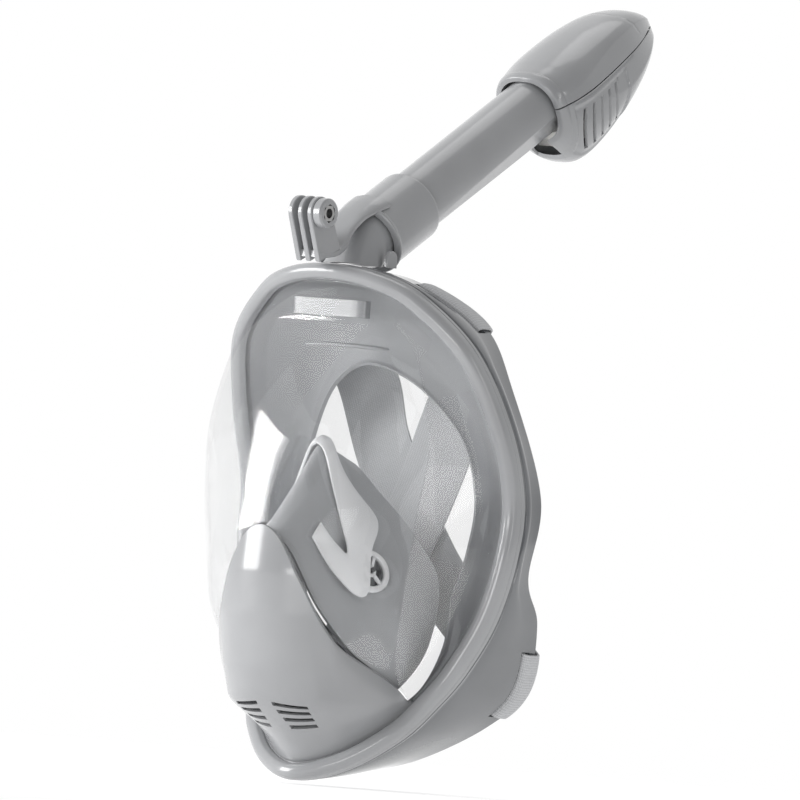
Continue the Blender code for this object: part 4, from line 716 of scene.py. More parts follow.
def bar(start, end, thick_axis, width, thick):
    """Rings of a straight bar with rounded edges: an ellipse-like section carried from end to end."""
    start, end, thick_axis = (np.asarray(v, float) for v in (start, end, thick_axis))
    way = (end - start) / np.linalg.norm(end - start)
    side = np.cross(way, thick_axis)
    t = np.linspace(0.0, 2 * math.pi, 16, endpoint=False)
    c, s = np.cos(t), np.sin(t)
    p, q = np.sign(c) * np.abs(c) ** 0.5 * 0.5 * width, np.sign(s) * np.abs(s) ** 0.5 * 0.5 * thick
    ring = p[:, None] * side + q[:, None] * thick_axis
    third = (end - start) / 3
    return np.stack([start + ring, start + third + ring, end - third + ring, end + ring])


def seat_pieces(name, middle, axis, outer, clear, spokes, material, slot, node_name, phase):
    """Valve seat: turned ring and hub, and spokes as bars between them."""
    axis = np.asarray(axis, float) / np.linalg.norm(axis)
    h = 0.5 * SEAT_THICK
    ring = [(outer, -h), (outer + 0.15, 0.0), (outer - 0.2, 0.7 * h), (outer - 0.8, h), (clear + 0.8, h),
            (clear + 0.2, 0.8 * h), (clear, 0.4 * h), (clear, -h)]
    hub = [(1.6, -h), (1.6, h), (HUB_RADIUS - 0.6, h), (HUB_RADIUS, 0.5 * h), (HUB_RADIUS, -h)]
    swept(name + "_ring", turned_rings(ring, middle, axis, 48), material, "mask", replaces=(node_name,),
          slot=slot, bevel=0.1)
    swept(name + "_hub", turned_rings(hub, middle, axis, 32), material, "mask", slot=slot, bevel=0.1)
    angles = phase + np.linspace(0.0, 2 * math.pi, spokes, endpoint=False)
    tips = turned_rings([(HUB_RADIUS - 0.3, 0.0), (clear + 0.3, 0.0)], middle, axis, 360)
    for k, angle in enumerate(angles):
        at = int(round(math.degrees(angle))) % 360
        swept(name + "_spoke_%d" % (k + 1), bar(tips[0, at], tips[1, at], axis, 1.9, 1.8), material, "mask",
              closed=False, slot=slot)


SEAT_STAND_OFF, COLLAR_WALL, COLLAR_RISE = 2.9, 1.6, 3.1
for side, sign in ("right", 1), ("left", -1):
    middle, out = valve_place(sign)
    on_seat = middle + out * (0.5 * SEAT_THICK + SEAT_STAND_OFF)
    seat_pieces("valve_seat_" + side, on_seat, out, SEAT_RADIUS, SEAT_OPEN, 3, satin_pp,
                "translucent_grey_plastic", "inlet_valve_seat_" + side, 0.4)
    within = SEAT_RADIUS - COLLAR_WALL
    collar = [(SEAT_RADIUS, 0.0), (SEAT_RADIUS, COLLAR_RISE), (within, COLLAR_RISE), (within, 0.0)]
    swept("valve_collar_" + side, turned_rings(collar, middle - out * 0.6, out, 48), pocket_silicone, "mask",
          slot="grey_silicone", bevel=0.2)


# Snorkel stub. A short pipe of gloss ABS that rises out of the frame at the top middle and leans
# back with the snorkel; the tube's sleeve pushes over it and an O-ring in its groove seals.
TUBE_LEAN = math.radians(60.0)
AXIS_FOOT = np.array([0.0, -23.0, 144.0])
AXIS_ALONG = np.array([0.0, math.sin(TUBE_LEAN), math.cos(TUBE_LEAN)])
AXIS_UP = np.array([0.0, -math.cos(TUBE_LEAN), math.sin(TUBE_LEAN)])
STUB_RADIUS, STUB_BORE, STUB_LENGTH = 15.2, 11.5, 15.0
ROUND = 96


def in_snorkel(x, up, along):
    """Point foot + x X + up U + along A in the snorkel's own frame, for arrays of any shape."""
    x, up, along = np.broadcast_arrays(*(np.asarray(v, float)[..., None] for v in (x, up, along)))
    return AXIS_FOOT + np.array([1.0, 0.0, 0.0]) * x + AXIS_UP * up + AXIS_ALONG * along


def circles(profile, count=ROUND):
    """Rings square to the tube axis for (along, radius) pairs: x = r sin t, up = r cos t."""
    profile = np.asarray(profile, float)
    t = np.linspace(0.0, 2 * math.pi, count, endpoint=False)[None]
    return in_snorkel(profile[:, 1:2] * np.sin(t), profile[:, 1:2] * np.cos(t), profile[:, :1])


t = np.linspace(0.0, 2 * math.pi, ROUND, endpoint=False)


def stub_foot(half_x, half_y):
    """Oval on top of the rim: x = a sin t, y = -33 - b cos t, z falls by 0.004 x^2."""
    x = half_x * np.sin(t)
    return np.stack([x, -33.0 - half_y * np.cos(t), TOP + 0.9 - 0.004 * x * x], axis=1)


groove = STUB_RADIUS - 1.3
barrel = circles([(-1.0, STUB_RADIUS), (6.0, STUB_RADIUS), (6.4, groove), (8.6, groove), (9.0, STUB_RADIUS),
                  (STUB_LENGTH - 0.4, STUB_RADIUS - 0.2), (STUB_LENGTH, STUB_RADIUS - 0.6),
                  (STUB_LENGTH + 0.3, STUB_BORE + 0.9), (STUB_LENGTH, STUB_BORE), (0.0, STUB_BORE)])
flare = np.linspace(0.0, 1.0, 9)[:-1, None, None]
low, high = stub_foot(18.5, 8.5)[None], barrel[:1]
outside = low + (high - low) * flare - np.array([0.0, 0.0, 0.9]) * np.sin(math.pi * flare)
swept("snorkel_stub", np.concatenate([outside, barrel, stub_foot(14.5, 5.5)[None]]), gloss_abs, "mask",
      bevel=0.2, replaces=("snorkel_socket",), slot="gloss_grey_abs")

# Black silicone O-ring: satin, of a plain round section; the fine parting line of its mould is not drawn.
black_rubber, tree, shader = blank("black_moulded_silicone")
dust = noise(tree, 0.004, 3.0)
colour_by(tree, shader, dust, "#151516", "#242526")
rough_by(tree, shader, dust, 0.4, 0.6)
constants(shader, IOR=SILICONE_IOR)
bead = np.linspace(0.0, 2 * math.pi, 12, endpoint=False)
RING_SECTION, RING_ALONG = 0.95, 7.5
section = np.stack([RING_ALONG + RING_SECTION * np.sin(bead),
                    STUB_RADIUS - 0.2 + RING_SECTION * np.cos(bead)], axis=1)
swept("stub_o_ring", circles(section), black_rubber, "mask", replaces=("socket_o_ring",),
      slot="black_silicone")

# Release ears. Two rounded thumb ears beside the stub, on thin roots that bend outward.
EAR_FOOT = 130.6
for side, sign in ("right", 1.0), ("left", -1.0):
    bow = np.linspace(math.pi, 0.0, 24)
    thumb = np.stack([-29.0 + 4.0 * np.cos(bow), 135.5 + 4.0 * np.sin(bow)], axis=1)
    outline = np.vstack([[(-33.0, EAR_FOOT)], thumb, [(-25.0, EAR_FOOT)]])
    levels = sign * np.array([20.6, 20.6, 21.1, 22.7, 23.2, 23.2])
    shrink = np.array([0.82, 0.94, 1.0, 1.0, 0.94, 0.82])
    middle = np.array([-29.0, 134.6])
    points = middle + (outline[None] - middle) * shrink[:, None, None]
    points[:, [0, -1], 1] = EAR_FOOT
    rings = np.concatenate([np.broadcast_to(levels[:, None, None], points.shape[:2] + (1,)), points], axis=2)
    swept("release_ear_" + side, rings, gloss_abs, "release_tab_" + side, closed=False, bevel=0.2,
          replaces=("release_tab_" + side,), slot="gloss_grey_abs")


# Sleeve with camera mount, one moulding of gloss ABS. The sleeve has a rolled lip at its foot, a
# web runs down its front to a foot plate, and three prongs with a nut boss stand on the plate.
SLEEVE_RADIUS, SLEEVE_START, SLEEVE_END, TUBE_RADIUS, TUBE_START = 19.2, 2.0, 40.0, 16.5, 19.0
PRONG_THICK, PRONG_PITCH, PRONG_END, PRONG_RISE, PRONG_HOLE = 3.0, 6.27, 8.5, 24.0, 2.6
BOSS_RADIUS, BOSS_LENGTH, NUT_FLATS = 7.8, 5.5, 8.0
bore, wide = STUB_RADIUS + 1.1, TUBE_RADIUS + 0.3
sleeve = [(SLEEVE_START, bore), (SLEEVE_START - 0.1, SLEEVE_RADIUS),
          (SLEEVE_START + 0.4, SLEEVE_RADIUS + 0.8), (SLEEVE_START + 1.2, SLEEVE_RADIUS + 1.2),
          (SLEEVE_START + 2.0, SLEEVE_RADIUS + 0.9),
          (SLEEVE_START + 2.6, SLEEVE_RADIUS + 0.3), (SLEEVE_START + 3.4, SLEEVE_RADIUS + 0.1),
          (0.5 * (SLEEVE_START + SLEEVE_END), SLEEVE_RADIUS), (SLEEVE_END - 2.0, SLEEVE_RADIUS),
          (SLEEVE_END - 0.8, SLEEVE_RADIUS - 0.2), (SLEEVE_END - 0.1, SLEEVE_RADIUS - 0.8),
          (SLEEVE_END, SLEEVE_RADIUS - 1.4), (SLEEVE_END, wide), (TUBE_START - GAP, wide),
          (TUBE_START - GAP, bore)]
swept("sleeve", circles(sleeve), gloss_abs, "mask", bevel=0.15, replaces=("camera_mount",),
      slot="gloss_grey_abs")

foot_point, rise = np.array([-62.0, 134.5]), np.array([-0.42, 0.907])
flank = np.array([rise[1], -rise[0]])
hub = foot_point + rise * PRONG_RISE
bow = np.linspace(0.0, math.pi, 40)[:, None]
outline = np.vstack([[foot_point - flank * 9.0], [foot_point + flank * 9.0],
                     hub + flank * PRONG_END * np.cos(bow) + rise * PRONG_END * np.sin(bow)])
outline = even_steps(np.vstack([outline[1:], outline[:1], outline[1:2]]), 97)[:-1]
to_hub = np.arctan2(outline[:, 1] - hub[1], outline[:, 0] - hub[0])
hole = hub + PRONG_HOLE * np.stack([np.cos(to_hub), np.sin(to_hub)], axis=1)


def slab_ring(outer_line, inner_line, low, high, round_by):
    """Rings round the section of a flat ring in YZ: outer edge with rounded corners, inner edge."""
    to_middle = hub - outer_line
    shrink = outer_line + to_middle / np.linalg.norm(to_middle, axis=1, keepdims=True) * round_by
    lines = [inner_line, shrink, outer_line, outer_line, shrink, inner_line]
    levels = [low, low, low + round_by, high - round_by, high, high]
    return np.stack([np.column_stack([np.full(len(line), x), line]) for x, line in zip(levels, lines)])


for k in (-1, 0, 1):
    x = k * PRONG_PITCH
    rings = slab_ring(outline, hole, x - 0.5 * PRONG_THICK, x + 0.5 * PRONG_THICK, 0.5)
    swept("prong_%d" % (k + 2), rings, gloss_abs, "mask", slot="gloss_grey_abs", bevel=0.12)
half_x = PRONG_PITCH + 0.5 * PRONG_THICK
turn = np.linspace(0.0, 2 * math.pi, 96, endpoint=False)
boss_line = hub + BOSS_RADIUS * np.stack([np.cos(turn), np.sin(turn)], axis=1)
flats = 0.5 * NUT_FLATS + GAP
hexagon = hub + (flats / np.cos((turn + math.pi / 6) % (math.pi / 3) - math.pi / 6))[:, None] * np.stack(
    [np.cos(turn), np.sin(turn)], axis=1)
swept("nut_boss", slab_ring(boss_line, hexagon, half_x - 0.4, half_x + BOSS_LENGTH, 0.9), gloss_abs, "mask",
      slot="gloss_grey_abs", bevel=0.12)

web_path = free_line([(0.0, -70.5, 135.0), (0.0, -60.0, 135.2), (0.0, -51.0, 138.5), (0.0, -45.0, 147.5),
                      (0.0, -38.5, 156.5), (0.0, -31.5, 162.2), (0.0, -24.0, 166.6)], 60)
run = np.linspace(0.0, 1.0, 60)
way = np.gradient(web_path, axis=0)
way /= np.linalg.norm(way, axis=1, keepdims=True)
over_way = np.stack([np.zeros(60), -way[:, 2], way[:, 1]], axis=1)
wide = np.interp(run, (0.0, 0.3, 0.55, 0.8, 1.0), (7.9, 7.9, 7.9, 11.0, 13.5))
thick = np.interp(run, (0.0, 0.35, 0.7, 1.0), (3.6, 3.6, 3.4, 3.0))
t = np.linspace(0.0, 2 * math.pi, 48, endpoint=False)[None]
p = np.sign(np.cos(t)) * np.abs(np.cos(t)) ** 0.3
q = np.sign(np.sin(t)) * np.abs(np.sin(t)) ** 0.6
sink = -0.024 * (p * wide[:, None]) ** 2 * np.interp(run, (0.0, 0.45, 0.8), (0.0, 0.0, 1.0))[:, None]
rings = (web_path[:, None] + np.array([1.0, 0.0, 0.0]) * (p * wide[:, None])[..., None]
         + over_way[:, None] * (0.5 * q * thick[:, None] + sink)[..., None])
swept("mount_web", rings, gloss_abs, "mask", closed=False, slot="gloss_grey_abs", bevel=0.1)

# Nut in the boss. Stainless steel, turned and plain, with faint rings from the tool.
steel, tree, shader = blank("turned_stainless_steel")
spot = node(tree, "TexCoord").outputs["Object"]
rings_of_tool = node(tree, "TexWave", [("Vector", spot), ("Scale", 1 / 0.0006), ("Distortion", 1.0)])
relief_by(tree, shader, rings_of_tool.outputs[1], 0.1, 0.0001)
rough_by(tree, shader, noise(tree, 0.003, 3.0), 0.25, 0.42)
constants(shader, Base_Color=linear("#b9b9b8"), Metallic=1.0)


# Snorkel tube. Extruded-looking gloss ABS tube, moulded with two flats along its underside that
# grow toward the head, so that a bright wedge runs up its lower side. A thin wall parts it inside.
TUBE_WALL, TUBE_MOUTH, HEAD_START, HEAD_LENGTH = 1.8, 190.0, 149.0, 106.0


def tube_rings(alongs, radius):
    """Rings r(t) = min(R, f / cos(t - m)) for the flats m at 125 and 235 degrees, f = R(1 - 0.1 share)."""
    alongs = np.asarray(alongs, float)[:, None]
    share = np.clip((alongs - SLEEVE_END) / (HEAD_START - SLEEVE_END), 0.0, 1.0)
    t = np.linspace(0.0, 2 * math.pi, ROUND * 2, endpoint=False)[None]
    reach = np.full(np.broadcast_shapes(share.shape, t.shape), float(radius))
    for middle in (math.radians(125.0), math.radians(235.0)):
        lean = np.cos(t - middle)
        flat = radius * (1.0 - 0.1 * share) / np.maximum(lean, 0.1)
        reach = np.where(lean > 0.1, np.minimum(reach, flat), reach)
    return in_snorkel(reach * np.sin(t), reach * np.cos(t), alongs)


alongs = np.r_[TUBE_START, TUBE_START + 0.6, np.linspace(SLEEVE_END - 6.0, HEAD_START, 40),
               TUBE_MOUTH - 0.5, TUBE_MOUTH]
outside = tube_rings(alongs, TUBE_RADIUS)
inside = tube_rings(alongs[::-1], TUBE_RADIUS - TUBE_WALL)
swept("breathing_tube", np.concatenate([outside, inside]), gloss_abs, "snorkel", bevel=0.3,
      replaces=("snorkel_tube",), slot="gloss_grey_abs")

# Head of the snorkel. Two gloss ABS mouldings: a smooth hood on top and a vented housing below,
# both with a collar lip at the tube, a flat glossy side facet and five curved louvres per side.
HEAD_WALL, PART_ANGLE = 2.2, math.radians(84.0)
LOUVRE_STARTS, LOUVRE_WIDTH, LOUVRE_LOW, LOUVRE_HIGH = (12.0, 19.0, 26.0, 33.0, 40.0), 2.5, 1.70, 2.40
head_sizes = np.array([  # along the tube, top, bottom and half width at 13 stations
    [0.0, 3.0, 7.0, 12.0, 17.0, 26.0, 41.0, 56.0, 72.0, 86.0, 97.0, 103.0, 106.0],
    [19.2, 19.8, 20.2, 20.5, 21.0, 21.5, 21.8, 21.5, 19.8, 15.5, 9.0, 3.0, -2.0],
    [19.6, 24.0, 31.0, 36.0, 38.0, 37.5, 34.5, 30.0, 24.0, 18.5, 13.0, 8.0, 4.5],
    [20.0, 21.5, 23.5, 25.0, 26.0, 27.0, 27.0, 26.0, 23.0, 18.0, 12.0, 6.5, 1.5]]).T
head_ends = 2 * head_sizes[0] - head_sizes[1], 2 * head_sizes[-1] - head_sizes[-2]
head_table = spans(np.vstack([head_ends[0], head_sizes, head_ends[1]]), 10)


def head_points(along, t, inward, pull_back):
    """Superellipse |sin|^2.4 + |cos|^2.4 = 1 scaled to half width, top and bottom, cut by side facets."""
    share = along / HEAD_LENGTH
    at = along - pull_back * share
    top, low, wide = (np.interp(at, head_table[:, 0], head_table[:, k]) for k in (1, 2, 3))
    top, low, wide = top - inward, -low + inward, np.maximum(wide - inward, 0.6)
    flat = top - low < 1.0
    top, low = np.where(flat, 0.5 * (top + low) + 0.5, top), np.where(flat, 0.5 * (top + low) - 0.5, low)
    s, c = np.sin(t), np.cos(t)
    reach = (np.abs(s) ** 2.4 + np.abs(c) ** 2.4) ** (-1.0 / 2.4)
    cut = 1.0 - 0.11 * eased((share - 0.1) / 0.5)
    for middle in (1.45, 2 * math.pi - 1.45):
        lean = np.cos(t - middle)
        reach = np.where(lean > 0.2, np.minimum(reach, cut / np.maximum(lean, 0.2)), reach)
    split = np.interp(share, (0.9, 0.97, 1.0), (0.0, -1.8, -3.25))
    height = np.where(c > 0, reach * c * (top - split), reach * c * (split - low))
    return in_snorkel(reach * s * wide, split + height, HEAD_START + at)


def window(value, low, high, soft):
    """1 inside a range and 0 outside, with smooth steps of a given width at both ends."""
    return eased((value - low) / soft + 0.5) * eased((high - value) / soft + 0.5)


def head_relief(along, t):
    """Depth of what is moulded in: collar lip, hood seam, side panel and the groove round it."""
    side = np.abs((t + math.pi) % (2 * math.pi) - math.pi)
    lip = -0.7 * np.sqrt(np.clip(1.0 - ((along - 2.6) / 2.6) ** 2, 0.0, 1.0))
    seam = 0.28 * np.exp(-((along - 74.0 - 7.0 * (side / 1.2) ** 2) / 0.6) ** 2) * (side < 1.2)
    panel = 0.9 * window(side, 1.62, 2.52, 0.07) * window(along, 8.5, 56.0 - 6.0 * (side - 1.6), 1.2)
    groove = 0.5 * window(side, 1.50, 1.56, 0.03) * window(along, 10.0, 66.0, 1.5)
    return lip + seam + panel + groove


edges = np.ravel([(a, a + LOUVRE_WIDTH) for a in LOUVRE_STARTS])
fine_alongs = np.unique(np.round(np.r_[np.linspace(0.0, 8.0, 18), np.linspace(8.0, 60.0, 90), edges,
                                       np.linspace(60.0, 102.0, 56), np.linspace(102.0, 106.0, 12)], 3))
slack = math.radians(1.0)
hood_turns = np.linspace(-PART_ANGLE + slack, PART_ANGLE - slack, 110)
low_half = np.unique(np.r_[np.linspace(PART_ANGLE + slack, math.pi, 64), LOUVRE_LOW, LOUVRE_HIGH])
house_turns = np.r_[low_half, 2 * math.pi - low_half[-2::-1]]
for name, turns, cad_node in (("hood", hood_turns, "head_cap"),
                              ("vented_housing", house_turns, "head_housing")):
    along, t = np.meshgrid(fine_alongs, turns, indexing="ij")
    ends = np.clip((along / HEAD_LENGTH - 0.8) / 0.15, 0.0, 1.0)
    centre = 0.5 * (turns[0] + turns[-1])
    t_in = centre + (t - centre) * (1.0 - 0.05 * ends)
    side = np.abs((t + math.pi) % (2 * math.pi) - math.pi)
    bend = 2.6 * ((side - 2.05) / 0.35) ** 2 * window(along, 11.0, 45.0, 3.0) * window(side, 1.62, 2.48, 0.1)
    outside = head_points(along + bend, t_in, head_relief(along + bend, t), 0.0)
    inside = head_points(along + bend, t_in, HEAD_WALL, 3.2)
    mid_along, mid_side = 0.5 * (along[1:, 1:] + along[:-1, 1:]), 0.5 * (side[1:, 1:] + side[1:, :-1])
    keep = np.ones(mid_along.shape, bool)
    if cad_node == "head_housing":
        for start in LOUVRE_STARTS:
            in_slot = (mid_along > start) & (mid_along < start + LOUVRE_WIDTH)
            keep &= ~(in_slot & (mid_side > LOUVRE_LOW) & (mid_side < LOUVRE_HIGH))
        keep &= ~((mid_along < 8.0) & (mid_side > 2.75))
    walled("snorkel_" + name, outside, inside, gloss_abs, "snorkel", keep=keep, bevel=0.35,
           replaces=(cad_node,), slot="gloss_grey_abs")


# Head straps. Two 38 mm elastic bands that cross behind the head: knitted grey elastic, folded
# round the frame's bars, with black hook tape in the folded ends. Both are cut from flat webbing.
STRAP_WIDTH, STRAP_THICK, TAB_THICK, TAPE_GAP, TAB_LENGTH, LEVELS = 38.0, 1.6, 0.8, 0.9, 26.0, 17
strap_middle = np.array([(33.0, 0.0, 74.0), (21.0, 0.0, 40.0), (8.0, 0.0, 12.0), (-3.0, 0.0, -8.0),
                         (-18.0, 0.0, -30.0)])

# Knitted elastic: ribs of 1.4 mm along the band and rows of loops every 0.9 mm across it. Real
# courses are somewhat finer, but at that size the render shows none of them.
elastic, tree, shader = blank("knitted_grey_elastic")
spot = node(tree, "UVMap", uv_map="cloth").outputs[0]
ribs = node(tree, "TexWave", [("Vector", spot), ("Scale", 1 / 0.0014 / 20 * 2 * math.pi), ("Distortion", 0.6),
                              ("Detail", 1.0)], bands_direction="X")
rows_knit = node(tree, "TexWave", [("Vector", spot), ("Scale", 1 / 0.0009 / 20 * 2 * math.pi),
                                   ("Distortion", 0.8), ("Detail", 1.0)], bands_direction="Y")
knit = node(tree, "Math", [(0, ribs.outputs[1]), (1, rows_knit.outputs[1])], operation="MULTIPLY")
fuzz = node(tree, "TexNoise", [("Vector", spot), ("Scale", 1 / 0.0008), ("Detail", 4.0)])
height = node(tree, "Math", [(0, knit.outputs[0]), (1, fuzz.outputs[0])], operation="ADD")
relief_by(tree, shader, height.outputs[0], 0.4, 0.0003)
# The base colour follows the same height: painted shade, darker in the hollows between ribs and loops, plus a
# random tone from the fuzz.
colour_by(tree, shader, height.outputs[0], "#a2a3a5", "#c4c5c7", 0.3, 1.3)
constants(shader, Roughness=0.85, Sheen_Weight=0.3, Sheen_Roughness=0.5)


def eased_rows(rows, steps):
    """Rows joined by hermite spans with tangents held to the span's length; steps per span."""
    rows = np.asarray(rows, float)
    padded = np.concatenate([2 * rows[:1] - rows[1:2], rows, 2 * rows[-1:] - rows[-2:-1]])
    made = []
    for k in range(1, len(padded) - 2):
        a, b, c, d = padded[k - 1:k + 3]
        gap = np.linalg.norm(c - b)
        before = (c - a) * min(1.0, gap / max(1e-6, np.linalg.norm(b - a)))
        after = (d - b) * min(1.0, gap / max(1e-6, np.linalg.norm(d - c)))
        t = np.linspace(0.0, 1.0, steps[k - 1], endpoint=False)[:, None, None]
        made.append(b * (1 - eased(t)) + c * eased(t) + 0.5 * before * t * (1 - t) ** 2
                    + 0.5 * after * t * t * (t - 1))
    return np.concatenate(made + [rows[-1:]])


def bar_frame(stations):
    """Slot middle, outward and rearward directions at even steps across the strap."""
    first, last = stations[0] * FINE, stations[1] * FINE
    run = np.linalg.norm(band_line[last] - band_line[first])
    margin = 0.5 * (1.0 - STRAP_WIDTH / run) * (last - first)
    at = np.linspace(first + margin, last - margin, LEVELS)
    base, part = np.floor(at).astype(int), (at % 1.0)[:, None]
    rear = band_line[base] * (1 - part) + band_line[base + 1] * part
    front = corner[base] * (1 - part) + corner[base + 1] * part
    out = outward(band_line)
    out = out[base] * (1 - part) + out[base + 1] * part
    out /= np.linalg.norm(out, axis=1, keepdims=True)
    behind = (rear - front) / np.linalg.norm(rear - front, axis=1, keepdims=True)
    return rear - behind * (STRAP_BAR + 0.5 * STRAP_SLOT) - out * 0.5 * BAND_WALL, out, behind


def hang_depth(z):
    """How far behind the face the straps hang at a height."""
    return np.interp(z, (-70.0, -44.0, -18.0, 0.0, 20.0, 62.0), (46.0, 41.0, 35.0, 33.0, 32.0, 26.0))


reach = STRAP_BAR + 0.5 * STRAP_SLOT


def strap_run(shift):
    """Rows of one strap from its upper bar over the crossing to the opposite lower bar."""
    slot, out, behind = bar_frame(UPPER_SLOT)
    low_slot, low_out, low_behind = (v * np.array([-1.0, 1.0, 1.0]) for v in bar_frame(LOWER_SLOT))
    rows = [slot - out * 4.6 + behind * (reach + 1.8), slot - out * 8.5 + behind * (reach + 5.5)]
    spread = np.linspace(0.5, -0.5, LEVELS)[:, None] * STRAP_WIDTH
    for point, way in zip(strap_middle, np.gradient(strap_middle, axis=0)):
        wide = -np.array([-way[2], 0.0, way[0]]) / math.hypot(way[2], way[0])
        row = point + spread * wide
        row[:, 1] = hang_depth(row[:, 2]) + shift
        rows.append(row)
    if np.linalg.norm(low_slot[0] - rows[-1][0]) > np.linalg.norm(low_slot[-1] - rows[-1][0]):
        low_slot, low_out, low_behind = low_slot[::-1], low_out[::-1], low_behind[::-1]
    rows.append(low_slot - low_out * 9.5 + low_behind * (reach + 3.0))
    rows.append(low_slot - low_out * 4.6 + low_behind * (reach + 1.8))
    if np.linalg.norm(rows[1][0] - rows[2][0]) > np.linalg.norm(rows[1][0] - rows[2][-1]):
        rows[0], rows[1] = rows[0][::-1], rows[1][::-1]
        slot, out, behind = slot[::-1], out[::-1], behind[::-1]
    run = eased_rows(rows, [4, 20, 12, 12, 12, 12, 24, 4])
    return run, (slot, out, behind), (low_slot, low_out, low_behind)


def fold(frame_of_bar):
    """Rows round the bar, from the outside over the slot to the inside, eased between them."""
    slot, out, behind = frame_of_bar
    places = ((-0.6, reach + 4.4), (1.5, reach + 2.9), (2.6, reach + 0.4), (2.7, reach - 2.5), (2.7, 1.6),
              (1.8, -0.5), (0.0, -1.3), (-1.8, -0.5), (-2.7, 1.6), (-2.7, reach - 2.5), (-3.1, reach - 0.2))
    return eased_rows([slot + out * a + behind * b for a, b in places], [3] * (len(places) - 1))


hook_tape, tree, shader = blank("black_nylon_hook_tape")
hooks = round_cells(tree, 0.0013)
colour_by(tree, shader, hooks, "#2c2c2e", "#0e0e0f")
relief_by(tree, shader, hooks, 0.9, 0.0006)
constants(shader, Roughness=0.7)

for name, sign, shift in ("right", 1.0, -1.2), ("left", -1.0, 1.2):
    main, upper, lower = strap_run(shift)
    lift = grid_normals(main, False)
    lift = -lift if np.dot(lift[4, 1], upper[1][1] + upper[2][1]) < 0 else lift
    length = np.r_[0.0, np.cumsum(np.linalg.norm(np.diff(main[:, LEVELS // 2], axis=0), axis=1))]
    head = int(np.searchsorted(length, TAB_LENGTH))
    tail = int(np.searchsorted(length, length[-1] - TAB_LENGTH))
    low_lift = lift if np.dot(lift[-5, 1], lower[1][1] + lower[2][1]) > 0 else -lift
    far = 2 * (0.5 * STRAP_THICK + TAPE_GAP) + TAB_THICK
    flip = np.array([sign, 1.0, 1.0])
    band = np.concatenate([(main + lift * far)[head:3:-1], fold(upper), main, fold(lower)[::-1],
                           (main + low_lift * far)[-5:tail - 2:-1]]) * flip
    normal = grid_normals(band, False)
    down = np.r_[0.0, np.cumsum(np.linalg.norm(np.diff(band[:, LEVELS // 2], axis=0), axis=1))] * MM
    wide = np.linspace(0.0, STRAP_WIDTH * MM, LEVELS)
    cloth_uv = np.stack(np.broadcast_arrays(wide[None, :], down[:, None]), axis=2)
    edge_fall = (1.0 - 0.35 * np.abs(np.linspace(-1.0, 1.0, LEVELS)) ** 6)[None, :, None]
    half = 0.5 * STRAP_THICK * edge_fall
    strap = walled("strap_from_upper_" + name, band + normal * half, band - normal * half, elastic, "mask",
                   uv=cloth_uv, bevel=0.25, replaces=("strap_%s_down" % name,), slot="grey_webbing")
    other = "left" if name == "right" else "right"
    top_tape = (main + lift * 0.5 * far)[4:head]
    low_tape = (main + low_lift * 0.5 * far)[tail + 1:-4]
    for place, tape, way in ("upper_" + name, top_tape, lift[4:head]), ("lower_" + other, low_tape,
                                                                       low_lift[tail + 1:-4]):
        away = way * 0.5 * TAB_THICK
        walled("hook_tape_" + place, (tape + away) * flip, (tape - away) * flip, hook_tape, "mask",
               bevel=0.15, replaces=("hook_tab_" + place,), slot="black_hook_tape")

# Cross patch: a square of the same elastic, sewn over the crossing with a line of stitches.
span = np.linspace(-1.0, 1.0, 41)
z = -1.0 + 17.0 * np.sign(span) * np.abs(span) ** 0.9
rows_z, cols_x = np.meshgrid(z, span, indexing="ij")
grid = np.stack([17.0 * cols_x * (1.0 - 0.12 * span[:, None] ** 4),
                 hang_depth(rows_z) + 1.2 + 0.5 * STRAP_THICK + GAP, rows_z], axis=2)
stitch = np.maximum(np.abs(span)[:, None], np.abs(span)[None, :])
dip = 0.35 * np.exp(-((stitch - 0.84) / 0.035) ** 2)
patch_uv = np.stack([(cols_x + 1.0) * 17.0 * MM, (rows_z + 18.0) * MM], axis=2)
rearward = np.array([0.0, 1.0, 0.0])
walled("crossing_patch", grid, grid + 1.4 * rearward - dip[..., None] * rearward, elastic, "mask",
       uv=patch_uv, bevel=0.25, replaces=("strap_cross_patch",), slot="grey_webbing")


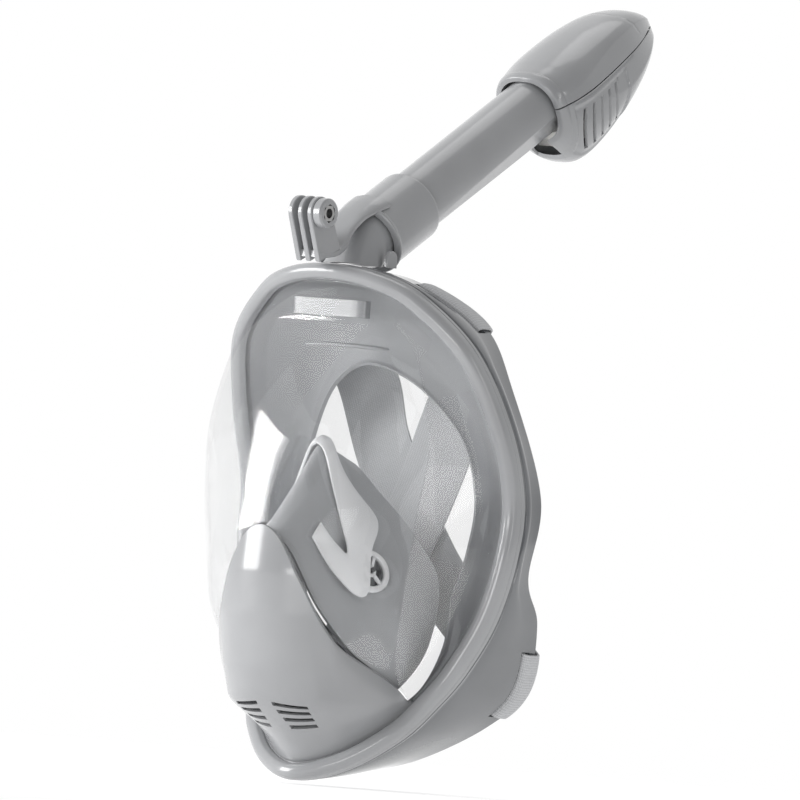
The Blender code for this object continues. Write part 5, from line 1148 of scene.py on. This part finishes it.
# Forehead visor rib and the lighter air duct above it, both behind the top of the window: the rib
# is part of the silicone skirt, the duct is clear plastic clipped in, open to both sides.
x = np.linspace(-27.0, 27.0, 60)
front_y, rear_y = -40.0 + 0.006 * x ** 2, -31.0 + 0.004 * x ** 2
lens_shape = np.sqrt(np.clip(1.0 - (np.abs(x) / 27.3) ** 6, 0.0, 1.0))
t = np.linspace(0.0, 2 * math.pi, 24, endpoint=False)
middle_y, half_y = 0.5 * (front_y + rear_y), 0.5 * (rear_y - front_y) * lens_shape
rise = 1.2 * lens_shape[:, None] * np.sign(np.sin(t)) * np.abs(np.sin(t)) ** 0.6
rib = np.stack(np.broadcast_arrays(x[:, None], middle_y[:, None] + half_y[:, None] * np.cos(t),
                                   (89.0 - 0.001 * x ** 2)[:, None] + rise), axis=2)
swept("visor_rib", rib, skirt_silicone, "mask", closed=False, bevel=0.1, replaces=("forehead_rib",),
      slot="grey_silicone")

frosted_plastic, tree, shader = blank("clear_frosted_polycarbonate")
frost = noise(tree, 0.002, 3.0)
rough_by(tree, shader, frost, 0.08, 0.2)
relief_by(tree, shader, frost, 0.15, 0.0003)
constants(shader, Base_Color=linear("#a4a5a7"), IOR=PC_IOR, Transmission_Weight=0.35)

corner_turn = np.linspace(0.0, 2 * math.pi, 48, endpoint=False)
c, s = np.cos(corner_turn), np.sin(corner_turn)
round_x, round_y = np.sign(c) * np.abs(c) ** 0.35, np.sign(s) * np.abs(s) ** 0.35
duct_rings = []
for half_x, half_y, z in ((24.0, 3.2, 103.5), (24.0, 3.2, 112.5), (22.6, 1.8, 112.5), (22.6, 1.8, 103.5)):
    duct_rings.append(np.stack([half_x * round_x, -47.2 + half_y * round_y, np.full(48, z)], axis=1))
swept("air_duct_shell", np.stack(duct_rings), frosted_plastic, "mask", bevel=0.2, replaces=("air_duct",),
      slot="clear_polycarbonate")

# Exhaust valve in the chin, on its housing, and the parts that stay as they were moulded: each gets
# its own finish. The float is closed-cell foam, its lever is satin plastic on a steel pin.
foam, tree, shader = blank("white_closed_cell_foam")
bubbles = round_cells(tree, 0.0012)
# The base colour is darker in the middle of each bubble, where the bump makes a pit: painted shade in the
# bubble hollows.
colour_by(tree, shader, bubbles, "#e6e5e1", "#f2f1ee")
relief_by(tree, shader, bubbles, 0.4, 0.0003)
constants(shader, Roughness=0.9)

dark_abs = moulded_plastic("dark_grey_moulded_abs", "#4a4b4d", "#434446", 0.3, 0.1)
finishes = {
    "camera_nut": steel, "float_pin": steel, "float_block": foam, "float_lever": satin_pp,
    "float_seal": black_rubber, "inlet_flap_left": black_rubber, "inlet_flap_right": black_rubber,
    "purge_flap": black_rubber, "tube_divider": gloss_abs, "exhaust_housing": dark_abs,
    "purge_valve_seat": dark_abs}
for name, finish in finishes.items():
    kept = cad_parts[name]
    for slot in kept.material_slots:
        slot.material = finish

low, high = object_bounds()
